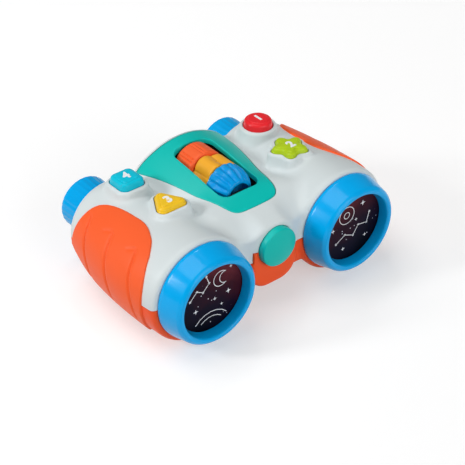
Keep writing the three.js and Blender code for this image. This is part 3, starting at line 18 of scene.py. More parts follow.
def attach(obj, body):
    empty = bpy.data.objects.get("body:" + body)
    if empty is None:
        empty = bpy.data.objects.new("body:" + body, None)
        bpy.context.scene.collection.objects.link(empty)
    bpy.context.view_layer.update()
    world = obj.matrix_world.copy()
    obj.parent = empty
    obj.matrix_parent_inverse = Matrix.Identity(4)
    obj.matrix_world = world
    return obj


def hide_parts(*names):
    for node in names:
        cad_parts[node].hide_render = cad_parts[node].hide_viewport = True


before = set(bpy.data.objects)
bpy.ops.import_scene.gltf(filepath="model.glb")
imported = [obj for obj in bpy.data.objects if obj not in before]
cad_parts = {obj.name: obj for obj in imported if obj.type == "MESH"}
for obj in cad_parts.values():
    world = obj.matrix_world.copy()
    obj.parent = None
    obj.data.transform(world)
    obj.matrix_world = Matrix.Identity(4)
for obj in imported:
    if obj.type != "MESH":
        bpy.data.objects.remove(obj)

LOG = logging.getLogger("binoculars")
MM = 0.001
FAR = 150.0
CLEARANCE = 0.3
MERGE = 1e-4
QUARTER = math.pi / 2
PLAIN_CREASE = 35.0
MOULDED_CREASE = 50.0

Piece = bpy.types.Object
Mesh = bmesh.types.BMesh
Loop = list[Vector]
Place = tuple[float, float]
Places = tuple[Place, ...]
Inputs = dict[str | int, Any]
Colour = tuple[float, float, float]
Pattern = Callable[[float, float], float]


class Operation(Enum):
    """How one solid acts on another."""

    JOIN = "UNION"
    CUT = "DIFFERENCE"
    KEEP = "INTERSECT"


class Side(Enum):
    """The two barrels, named as someone facing the picture lenses sees them."""

    LEFT = -1
    RIGHT = 1

    @property
    def word(self) -> str:
        """Name of the side as used in node names."""
        return self.name.lower()


class ButtonShape(Enum):
    """Plan shapes of the press buttons."""

    ROUND = "round"
    STAR = "star"
    SQUARE = "square"
    TRIANGLE = "triangle"


def smoothstep(value: float, low: float, high: float) -> float:
    """Soft ramp from 0 at low to 1 at high.

    Args:
        value: Place on the ramp.
        low: Where the ramp starts.
        high: Where the ramp ends.

    Returns:
        Height of the ramp.
    """
    share = min(max((value - low) / (high - low), 0.0), 1.0)
    return share * share * (3.0 - 2.0 * share)


def lerp(start: float, end: float, share: float) -> float:
    """Value at a share of the way from start to end."""
    return start + (end - start) * share


def quarter(steps: int) -> list[float]:
    """Angles of a quarter turn in even steps, with both ends."""
    return [QUARTER * i / steps for i in range(steps + 1)]


def new_verts(made: Iterable[Any]) -> list[bmesh.types.BMVert]:
    """The points among what a bmesh operator made."""
    return [part for part in made if isinstance(part, bmesh.types.BMVert)]


def linear(colour: Colour) -> tuple[float, float, float, float]:
    """Linear colour with alpha, from a colour as it looks on screen."""
    parts = [c / 12.92 if c <= 0.04045 else ((c + 0.055) / 1.055) ** 2.4 for c in colour]
    return (parts[0], parts[1], parts[2], 1.0)


class Bench:
    """Small modelling tools that the sub-assemblies share. Everything here is in millimetres."""

    @staticmethod
    def blank(name: str, mesh: Mesh) -> Piece:
        """Object from a finished bmesh.

        Args:
            name: Name of the object.
            mesh: The bmesh, which is freed.

        Returns:
            The new object, linked to the scene.
        """
        bmesh.ops.recalc_face_normals(mesh, faces=mesh.faces)
        data = bpy.data.meshes.new(name)
        mesh.to_mesh(data)
        mesh.free()
        piece = bpy.data.objects.new(name, data)
        bpy.context.scene.collection.objects.link(piece)
        return piece

    @staticmethod
    def settle(piece: Piece) -> Piece:
        """Turn a piece's modifiers into its mesh."""
        graph = bpy.context.evaluated_depsgraph_get()
        made = bpy.data.meshes.new_from_object(piece.evaluated_get(graph))
        old = piece.data
        piece.modifiers.clear()
        piece.data = made
        bpy.data.meshes.remove(old)
        return piece

    @classmethod
    def work(cls, piece: Piece, how: Operation, *tools: Piece) -> Piece:
        """Join, cut or keep a solid with other solids, which are used up.

        Args:
            piece: The solid that is worked on.
            how: What the tools do to it.
            tools: The other solids.

        Returns:
            The worked solid.
        """
        for tool in tools:
            step = piece.modifiers.new("step", "BOOLEAN")
            step.object = tool
            step.operation = how.value
            step.solver = "MANIFOLD"
            cls.settle(piece)
            data = tool.data
            bpy.data.objects.remove(tool)
            bpy.data.meshes.remove(data)
        return piece

    @classmethod
    def soften(cls, piece: Piece, voxel: float, passes: int) -> Piece:
        """Give a solid an even skin with moulded, rounded edges.

        Args:
            piece: The solid.
            voxel: Size of the skin's faces.
            passes: How many times the skin is smoothed.

        Returns:
            The softened solid.
        """
        step = piece.modifiers.new("skin", "REMESH")
        step.mode = "VOXEL"
        step.voxel_size = voxel
        cls.settle(piece)
        mesh = bmesh.new()
        mesh.from_mesh(piece.data)
        for _ in range(passes):
            bmesh.ops.smooth_vert(
                mesh, verts=mesh.verts, factor=0.5, use_axis_x=True, use_axis_y=True, use_axis_z=True)
        mesh.to_mesh(piece.data)
        mesh.free()
        return piece

    @staticmethod
    def loft(name: str, loops: Sequence[Loop], ring: bool = False) -> Piece:
        """Solid drawn through loops with the same number of points.

        Args:
            name: Name of the object.
            loops: The loops in order.
            ring: Whether the last loop joins the first, in place of a lid on either end.

        Returns:
            The solid.
        """
        mesh = bmesh.new()
        spot = mesh.verts.layers.int.new("spot")
        bmesh.ops.create_circle(mesh, segments=len(loops[0]), radius=1.0)
        mesh.verts.ensure_lookup_table()
        for number, vert in enumerate(mesh.verts):
            vert[spot] = number
            vert.co = loops[0][number]
        edges = list(mesh.edges)
        first = edges
        for loop in [*loops[1:], loops[0]] if ring else loops[1:]:
            made = bmesh.ops.extrude_edge_only(mesh, edges=edges)["geom"]
            edges = [part for part in made if isinstance(part, bmesh.types.BMEdge)]
            fresh = new_verts(made)
            for vert in fresh:
                vert.co = loop[vert[spot]]
            newest = set(fresh)
            edges = [edge for edge in edges if newest.issuperset(edge.verts)]
        if ring:
            bmesh.ops.remove_doubles(mesh, verts=mesh.verts, dist=1e-5)
        else:
            bmesh.ops.contextual_create(mesh, geom=first)
            bmesh.ops.contextual_create(mesh, geom=edges)
        return Bench.blank(name, mesh)

    @staticmethod
    def turned(
        name: str,
        profile: Sequence[Place],
        x: float,
        z: float,
        steps: int = 96,
        edge: float = 0.0,
    ) -> Piece:
        """Piece turned about a line along Y.

        Args:
            name: Name of the object.
            profile: Radius and y of each corner; it closes on itself, or on the axis.
            x: Place of the axis.
            z: Height of the axis.
            steps: Faces round the piece.
            edge: Rounding of the corners.

        Returns:
            The turned piece.
        """
        mesh = bmesh.new()
        corners = [mesh.verts.new((x + radius, y, z)) for radius, y in profile]
        on_axis = profile[0][0] < 1e-6 and profile[-1][0] < 1e-6
        for before, after in zip(corners, corners[1:]):
            mesh.edges.new((before, after))
        if not on_axis:
            mesh.edges.new((corners[-1], corners[0]))
        if edge > 0:
            rounded = corners[1:-1] if on_axis else corners
            bmesh.ops.bevel(
                mesh, geom=rounded, offset=edge, offset_type="OFFSET", affect="VERTICES",
                segments=4, profile=0.5, material=-1, clamp_overlap=True)
        bmesh.ops.spin(
            mesh, geom=[*mesh.verts, *mesh.edges], cent=(x, 0, z), axis=(0, 1, 0),
            angle=2 * math.pi, steps=steps, use_merge=True)
        bmesh.ops.remove_doubles(mesh, verts=mesh.verts, dist=MERGE)
        return Bench.blank(name, mesh)

    @staticmethod
    def bar(x: float, z: float, radius: float, y0: float, y1: float, steps: int = 72) -> Piece:
        """Round bar along Y between two places."""
        return Bench.turned("bar", [(0, y0), (radius, y0), (radius, y1), (0, y1)], x, z, steps)

    @staticmethod
    def post(x: float, y: float, radius: float, z0: float, z1: float) -> Piece:
        """Round post along Z between two heights."""
        mesh = bmesh.new()
        place = Matrix.Translation((x, y, (z0 + z1) / 2))
        bmesh.ops.create_cone(
            mesh, cap_ends=True, segments=40, radius1=radius, radius2=radius, depth=z1 - z0, matrix=place)
        return Bench.blank("post", mesh)

    @staticmethod
    def box(low: Sequence[float], high: Sequence[float]) -> Piece:
        """Plain box between two corners, for joining and cutting."""
        mesh = bmesh.new()
        middle = (Vector(low) + Vector(high)) / 2
        span = Vector(high) - Vector(low)
        place = Matrix.Translation(middle) @ Matrix.Diagonal(span).to_4x4()
        bmesh.ops.create_cube(mesh, size=1.0, matrix=place)
        return Bench.blank("box", mesh)

    @staticmethod
    def prism(loop: Loop, z0: float, z1: float) -> Piece:
        """Upright solid over a plan loop."""
        return Bench.loft("prism", [[Vector((p.x, p.y, z)) for p in loop] for z in (z0, z1)])

    @staticmethod
    def grown(loop: Loop, distance: float) -> Loop:
        """Plan loop moved outwards by a distance.

        Args:
            loop: Points that run counter-clockwise.
            distance: How far they move out.

        Returns:
            The moved points.
        """
        moved = []
        for i, point in enumerate(loop):
            before, after = loop[i - 1], loop[(i + 1) % len(loop)]
            into = Vector((point.y - before.y, before.x - point.x)).normalized()
            away = Vector((after.y - point.y, point.x - after.x)).normalized()
            mitre = (into + away) / (1 + into.dot(away))
            moved.append(Vector((point.x + mitre.x * distance, point.y + mitre.y * distance, 0)))
        return moved

    @staticmethod
    def seat(piece: Piece, name: str, lift: float, crease: float = PLAIN_CREASE) -> Piece:
        """Bring a finished piece from millimetres over the axis into the frame.

        Args:
            piece: The finished piece.
            name: Its final name.
            lift: Height of the barrel axis over the ground.
            crease: Angle past which an edge stays sharp, in degrees.

        Returns:
            The seated piece.
        """
        mesh = bmesh.new()
        mesh.from_mesh(piece.data)
        bmesh.ops.translate(mesh, verts=mesh.verts, vec=(0, 0, lift))
        bmesh.ops.scale(mesh, verts=mesh.verts, vec=(MM, MM, MM))
        mesh.to_mesh(piece.data)
        mesh.free()
        piece.name = name
        piece.data.name = name
        piece.data.shade_smooth()
        piece.data.set_sharp_from_angle(angle=math.radians(crease))
        return piece


class Graph:
    """Nodes of one material or of the surroundings."""

    def __init__(self, owner: bpy.types.Material | bpy.types.World) -> None:
        """Open the owner's node tree."""
        owner.use_nodes = True
        self.tree = owner.node_tree

    def fill(self, node: bpy.types.Node, inputs: Inputs) -> bpy.types.Node:
        """Set a node's inputs.

        Args:
            node: The node.
            inputs: For each input a value, or the output of another node.

        Returns:
            The same node.
        """
        for name, value in inputs.items():
            if isinstance(value, bpy.types.NodeSocket):
                self.tree.links.new(value, node.inputs[name])
            else:
                node.inputs[name].default_value = value
        return node

    def add(self, kind: str, output: str, inputs: Inputs, **settings: Any) -> bpy.types.NodeSocket:
        """Add a node.

        Args:
            kind: Its kind, without the common start of the word.
            output: The output that is asked for.
            inputs: For each input a value, or the output of another node.
            settings: Its settings.

        Returns:
            The output.
        """
        node = self.tree.nodes.new(f"ShaderNode{kind}")
        for name, value in settings.items():
            setattr(node, name, value)
        return self.fill(node, inputs).outputs[output]

    def shade(self, inputs: Inputs) -> None:
        """Set the inputs of the material's shader."""
        self.fill(self.tree.nodes["Principled BSDF"], inputs)


@dataclass(frozen=True)
class MouldedFinish:
    """Moulded plastic with a fine grain, faint flow clouds and a soft gloss."""

    name: str
    colour: Colour
    roughness: float = 0.36
    cloud: float = 0.035
    cloud_size: float = 38.0
    grain: float = 0.05
    grain_size: float = 2400.0
    grain_depth: float = 0.0001
    coat: float = 0.0
    coat_roughness: float = 0.08
    metal: float = 0.0
    glint: float = 0.22
    smoother: float = 0.04
    rougher: float = 0.05

    def paint(self, graph: Graph) -> None:
        """Draw up the finish's nodes."""
        base = linear(self.colour)[:3]
        dark = tuple(c * (1 - self.cloud) for c in base) + (1.0,)
        pale = tuple(min(c * (1 + self.cloud), 1.0) for c in base) + (1.0,)
        place = graph.add("TexCoord", "Object", {})
        flow = graph.add("TexNoise", "Fac", {"Scale": self.cloud_size, "Detail": 3.0, "Vector": place})
        pits = graph.add("TexNoise", "Fac", {"Scale": self.grain_size, "Detail": 2.0, "Vector": place})
        low, high = self.roughness - self.smoother, self.roughness + self.rougher
        graph.shade({
            "Base Color": graph.add(
                "Mix", "Result", {"A": dark, "B": pale, "Factor": flow}, data_type="RGBA"),
            "Roughness": graph.add("MapRange", "Result", {"To Min": low, "To Max": high, "Value": flow}),
            "Normal": graph.add(
                "Bump", "Normal", {"Strength": self.grain, "Distance": self.grain_depth, "Height": pits}),
            "Metallic": self.metal,
            "Specular IOR Level": self.glint,
            "Coat Weight": self.coat,
            "Coat Roughness": self.coat_roughness,
        })


@dataclass(frozen=True)
class SkyFinish:
    """Printed night sky: a glowing cloud on dark blue with fine specks."""

    name: str
    middle: Vector
    turn: float
    mist_size: float = 55.0
    mist_share: float = 0.42
    low: float = -0.022
    high: float = 0.024
    speck_size: float = 230.0
    speck_edge: float = 0.10
    speck_core: float = 0.05
    speck_colour: Colour = (0.93, 0.95, 1.0)
    roughness: float = 0.42
    glint: float = 0.05
    stops: tuple[tuple[float, Colour], ...] = (
        (0.2, (0.02, 0.02, 0.06)), (0.42, (0.06, 0.04, 0.12)),
        (0.6, (0.22, 0.07, 0.12)), (0.8, (0.42, 0.16, 0.19)))

    def material(self) -> bpy.types.Material:
        """Node material of the print."""
        made = bpy.data.materials.new(self.name)
        graph = Graph(made)
        place = graph.add(
            "Mapping", "Vector",
            {"Location": self.middle * MM, "Rotation": (0, self.turn, 0),
             "Vector": graph.add("TexCoord", "Object", {})},
            vector_type="TEXTURE")
        height = graph.add("SeparateXYZ", "Z", {"Vector": place})
        mist = graph.add("TexNoise", "Fac", {"Scale": self.mist_size, "Detail": 5.0, "Vector": place})
        slope = graph.add(
            "MapRange", "Result", {"From Min": self.low, "From Max": self.high, "Value": height})
        blend = graph.add("Mix", "Result", {"Factor": self.mist_share, "A": slope, "B": mist})
        sky = graph.add("ValToRGB", "Color", {"Fac": blend})
        strip = sky.node.color_ramp
        while len(strip.elements) < len(self.stops):
            strip.elements.new(0.5)
        for stop, (spot, colour) in zip(strip.elements, self.stops):
            stop.position = spot
            stop.color = linear(colour)
        specks = graph.add("TexVoronoi", "Distance", {"Scale": self.speck_size, "Vector": place})
        dots = graph.add(
            "MapRange", "Result",
            {"From Min": self.speck_edge, "From Max": self.speck_core, "Value": specks})
        lit = graph.add(
            "Mix", "Result", {"Factor": dots, "A": sky, "B": linear(self.speck_colour)}, data_type="RGBA")
        graph.shade({"Base Color": lit, "Roughness": self.roughness, "Specular IOR Level": self.glint})
        return made


@dataclass(frozen=True)
class ClearFinish:
    """Clear moulded plastic with a faint haze in its gloss."""

    name: str = "clear_plastic"
    colour: Colour = (0.9, 0.96, 0.98)
    bend: float = 1.49
    haze_size: float = 160.0
    clearest: float = 0.02
    haziest: float = 0.08

    def paint(self, graph: Graph) -> None:
        """Draw up the finish's nodes."""
        place = graph.add("TexCoord", "Object", {})
        haze = graph.add("TexNoise", "Fac", {"Scale": self.haze_size, "Vector": place})
        graph.shade({
            "Base Color": linear(self.colour),
            "Transmission Weight": 1.0,
            "IOR": self.bend,
            "Roughness": graph.add(
                "MapRange", "Result", {"To Min": self.clearest, "To Max": self.haziest, "Value": haze}),
        })


class Finish(Enum):
    """Every finish of the toy."""

    WHITE = MouldedFinish("white_shell", (0.84, 0.872, 0.876), 0.4)
    ORANGE = MouldedFinish("orange_shell", (0.98, 0.34, 0.13), 0.42)
    GRIP = MouldedFinish("orange_grip", (0.98, 0.38, 0.17), 0.46, grain=0.12)
    BLUE = MouldedFinish("blue_trim", (0.0, 0.67, 0.94), 0.17, glint=0.2)
    MINT = MouldedFinish("mint_trim", (0.0, 0.75, 0.71), 0.36)
    RED = MouldedFinish("red_button", (0.94, 0.17, 0.2), 0.25)
    GREEN = MouldedFinish("green_button", (0.71, 0.82, 0.13), 0.28)
    TEAL = MouldedFinish("teal_button", (0.04, 0.77, 0.87), 0.25)
    YELLOW = MouldedFinish("yellow_button", (0.96, 0.78, 0.16), 0.28)
    BLUE_ROLLER = MouldedFinish("blue_roller", (0.0, 0.60, 0.88), 0.28)
    AMBER_ROLLER = MouldedFinish("yellow_roller", (0.97, 0.69, 0.19), 0.33)
    ORANGE_ROLLER = MouldedFinish("orange_roller", (0.98, 0.40, 0.2), 0.36)
    GREY = MouldedFinish("grey_plastic", (0.13, 0.14, 0.15), 0.5)
    DARK = MouldedFinish("dark_plastic", (0.10, 0.11, 0.12), 0.5)
    BOARD = MouldedFinish("circuit_board", (0.10, 0.42, 0.24), 0.45, cloud=0.12)
    REFLECTOR = MouldedFinish("reflector_white", (0.92, 0.92, 0.92), 0.35)
    JACKET = MouldedFinish("battery_jacket", (0.36, 0.38, 0.42), 0.3, coat=0.5)
    STEEL = MouldedFinish("plated_steel", (0.74, 0.75, 0.76), 0.28, cloud=0.06, metal=1.0)
    PRINT = MouldedFinish("white_print", (0.95, 0.96, 0.97), 0.4)
    CLEAR = ClearFinish()

    def material(self) -> bpy.types.Material:
        """Material of this finish, which is made once."""
        title = f"{self.value.name}_finish"
        made = bpy.data.materials.get(title)
        if made is None:
            made = bpy.data.materials.new(title)
            self.value.paint(Graph(made))
        return made


class Dresser:
    """Seats finished pieces on the frame's bodies and reports them."""

    def __init__(self, lift: float) -> None:
        """Keep the height of the barrel axis."""
        self.lift = lift

    def dress(
        self,
        piece: Piece,
        name: str,
        material: bpy.types.Material,
        body: str = "housing",
        nodes: Iterable[str] = (),
        crease: float = PLAIN_CREASE,
    ) -> Piece:
        """Seat, colour and attach one finished piece.

        Args:
            piece: The finished piece, in millimetres over the axis.
            name: Its final name.
            material: Its material.
            body: The CAD body that it rides on.
            nodes: The CAD nodes that it stands for.
            crease: Angle past which its edges stay sharp, in degrees.

        Returns:
            The dressed piece.
        """
        Bench.seat(piece, name, self.lift, crease)
        piece.data.materials.clear()
        piece.data.materials.append(material)
        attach(piece, body)
        if nodes:
            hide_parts(*nodes)
        LOG.info("%s: %d faces on %s", name, len(piece.data.polygons), body)
        return piece

    def keep(self, node: str, finish: Finish) -> None:
        """Give a carried-over CAD node its finish."""
        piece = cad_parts[node]
        piece.data.materials.clear()
        piece.data.materials.append(finish.material())
        LOG.info("%s: kept", node)


@dataclass(frozen=True)
class BodyForm:
    """Form of the two barrels and the bridge between them."""

    length: float = 134.0
    barrel_x: float = 55.0
    axis_height: float = 34.5
    ring_length: float = 16.4
    eyecup_length: float = 22.0
    wall: float = 2.2
    belly_from_front: float = 45.0
    belly_half_width: float = 36.3
    tail_half_width: float = 27.1
    front_top: float = 33.4
    tail_top: float = 27.4
    bottom_radius: float = 35.5
    heel_from_front: float = 80.0
    front_round: float = 2.6
    tail_round: float = 7.0
    bridge_front_recess: float = 2.1
    bridge_back_recess: float = 3.5
    crest_front: float = 22.4
    crest_back: float = 39.2
    crest_bow: float = 0.01047
    bow_start_from_front: float = 34.0
    bow_full_from_front: float = 62.0
    bridge_depth: float = 14.5
    bridge_front_round: float = 1.6
    bridge_back_round: float = 0.8
    blend: float = 8.0
    saddle_fall: float = 10.0
    brow_fall: float = 5.0
    brow_start: float = 6.0
    brow_end: float = 19.0
    brow_reach: float = 17.0
    bridge_step: float = 0.3
    bridge_rows: int = 44
    middle_columns: int = 8
    barrel_columns: int = 16
    skirt: float = 8.0

    @property
    def front(self) -> float:
        """Place of the lens rings' front."""
        return -self.length / 2

    @property
    def back(self) -> float:
        """Place of the eyecups' end."""
        return self.length / 2

    @property
    def barrel_front(self) -> float:
        """Place where the barrels start behind the rings."""
        return self.front + self.ring_length

    @property
    def barrel_back(self) -> float:
        """Place where the barrels end at the eyecups."""
        return self.back - self.eyecup_length

    @property
    def bridge_front(self) -> float:
        """Place of the bridge's front wall."""
        return self.barrel_front + self.bridge_front_recess

    @property
    def bridge_back(self) -> float:
        """Place of the bridge's back wall."""
        return self.barrel_back - self.bridge_back_recess

    @staticmethod
    def edge_inset(distance: float, radius: float) -> float:
        """How far a rounded edge has drawn in at a distance from its end."""
        depth = min(max(radius - distance, 0.0), radius)
        return radius - math.sqrt(radius * radius - depth * depth)

    def section(self, y: float, growth: float) -> tuple[float, float, float, float]:
        """Half axes of one barrel's section.

        Args:
            y: Place along the barrel.
            growth: Skin that is added all round.

        Returns:
            Reach to the outside, to the bridge, upwards and downwards.
        """
        skin = growth - self.edge_inset(y - self.barrel_front + growth, self.front_round)
        skin -= self.edge_inset(self.barrel_back + growth - y, self.tail_round)
        belly = self.front + self.belly_from_front
        heel = self.front + self.heel_from_front
        from_belly = (y - belly) / (self.barrel_back - belly)
        outer = self.belly_half_width - (self.belly_half_width - self.tail_half_width) * from_belly ** 2
        from_front = (y - self.barrel_front) / (self.barrel_back - self.barrel_front)
        top = lerp(self.front_top, self.tail_top, from_front)
        from_heel = max(y - heel, 0.0) / (self.barrel_back - heel)
        bottom = self.bottom_radius - (self.bottom_radius - self.tail_top) * from_heel ** 2
        return outer + skin, top + skin, top + skin, bottom + skin

    def bridge_inset(self, y: float, growth: float) -> float:
        """How far the bridge has drawn in at its rounded ends."""
        front = self.edge_inset(y - self.bridge_front + growth, self.bridge_front_round)
        return front + self.edge_inset(self.bridge_back + growth - y, self.bridge_back_round)

    def brow_drop(self, x: float) -> float:
        """How far the bridge's front edge falls off to either side of the nose."""
        return self.brow_fall * smoothstep(x, self.brow_start, self.brow_end)

    def bridge_roof(self, x: float, y: float, growth: float) -> float:
        """Height of the bridge's crowned roof over a plan point."""
        from_back = (self.bridge_back - y) / (self.bridge_back - self.bridge_front)
        crest = self.crest_back - (self.crest_back - self.crest_front) * from_back ** 2
        start, full = self.front + self.bow_start_from_front, self.front + self.bow_full_from_front
        bow = self.crest_bow * smoothstep(y, start, full)
        fall = self.saddle_fall * smoothstep(x, self.barrel_x / 2, self.barrel_x)
        near = 1 - smoothstep(y, self.bridge_front, self.bridge_front + self.brow_reach)
        fall += near * self.brow_drop(x)
        return crest - bow * x * x - fall + growth - self.bridge_inset(y, growth)

    def reach(self, up: bool, x: float, y: float, growth: float, bridged: bool) -> float:
        """Height of the roof, or depth of the floor, over one plan point.

        Args:
            up: Whether the roof is asked for.
            x: Distance from the middle.
            y: Place along the body.
            growth: Skin that is added all round.
            bridged: Whether the bridge is there at this place.

        Returns:
            Distance from the parting plane.
        """
        outer, inner, top, bottom = self.section(y, growth)
        lean = (x - self.barrel_x) / (inner if x < self.barrel_x else outer)
        arc = math.sqrt(max(1 - lean * lean, 0.0))
        high = arc * (top if up else bottom)
        if bridged and x < self.barrel_x:
            floor = self.bridge_depth + growth - self.bridge_inset(y, growth)
            other = self.bridge_roof(x, y, growth) if up else floor
            overlap = max(self.blend - abs(high - other), 0.0)
            high = max(high, other) + overlap * overlap / (4 * self.blend)
        return high if up else min(high, self.axis_height + growth)

    def stations(self, growth: float) -> list[tuple[float, bool]]:
        """Places along the body where a row of points stands, with a step at either end of the bridge.

        Args:
            growth: Skin that is added all round.

        Returns:
            Each place and whether the bridge is there.
        """
        step, rows = self.bridge_step, self.bridge_rows
        front, back = self.barrel_front - growth, self.barrel_back + growth
        bridge_front, bridge_back = self.bridge_front - growth, self.bridge_back + growth
        places = [front + self.front_round * share ** 2 for share in (0, 0.25, 0.5, 0.75)]
        places += [back - self.tail_round * share ** 2 for share in (0, 0.2, 0.4, 0.6, 0.8, 1)]
        places += [bridge_front + self.bridge_front_round * share ** 2 for share in (0, 0.25, 0.5, 0.75, 1)]
        places += [bridge_back - self.bridge_back_round * share ** 2 for share in (0, 0.5, 1)]
        places += [bridge_front - step, bridge_back + step]
        first, last = bridge_front + self.bridge_front_round, bridge_back - self.bridge_back_round
        places += [lerp(first, last, i / rows) for i in range(1, rows)]
        low, high = bridge_front - step / 2, bridge_back + step / 2
        return [(y, low < y < high) for y in sorted(places)]

    def half(self, up: bool, growth: float) -> Piece:
        """Upper or lower half of the body as a solid, with a skirt past the parting plane.

        Args:
            up: Whether it is the upper half.
            growth: Skin that is added all round.

        Returns:
            The solid.
        """
        rows = self.stations(growth)
        spread, bend = self.middle_columns, self.barrel_columns
        span = spread + 2 * bend
        mesh = bmesh.new()
        bmesh.ops.create_grid(mesh, x_segments=2 * span, y_segments=len(rows) - 1, size=1.0)
        for vert in mesh.verts:
            column = round(vert.co.x * span)
            y, bridged = rows[round((vert.co.y + 1) / 2 * (len(rows) - 1))]
            outer, inner, _, _ = self.section(y, growth)
            across = abs(column)
            if across <= spread:
                x = (self.barrel_x - inner) * across / spread
            elif across <= spread + bend:
                x = self.barrel_x - inner * math.cos(QUARTER * (across - spread) / bend)
            else:
                x = self.barrel_x + outer * math.sin(QUARTER * (across - spread - bend) / bend)
            high = 0.0 if across == span else self.reach(up, x, y, growth, bridged)
            vert.co = Vector((math.copysign(x, column), y, high if up else -high))
        made = bmesh.ops.extrude_face_region(mesh, geom=list(mesh.faces))["geom"]
        for vert in new_verts(made):
            vert.co.z = -self.skirt if up else self.skirt
        return Bench.blank("half", mesh)

    def side_point(self, side: Side, y: float, arc: float, growth: float) -> Vector:
        """Point on a barrel's outer side.

        Args:
            side: Which barrel.
            y: Place along it.
            arc: Distance round it from the parting plane, up.
            growth: Height off its surface.

        Returns:
            The point.
        """
        outer, _, top, bottom = self.section(y, growth)
        angle = arc / self.belly_half_width
        height = top if angle > 0 else bottom
        radius = 1 / math.hypot(math.cos(angle) / outer, math.sin(angle) / height)
        return Vector((side.value * (self.barrel_x + radius * math.cos(angle)), y, radius * math.sin(angle)))


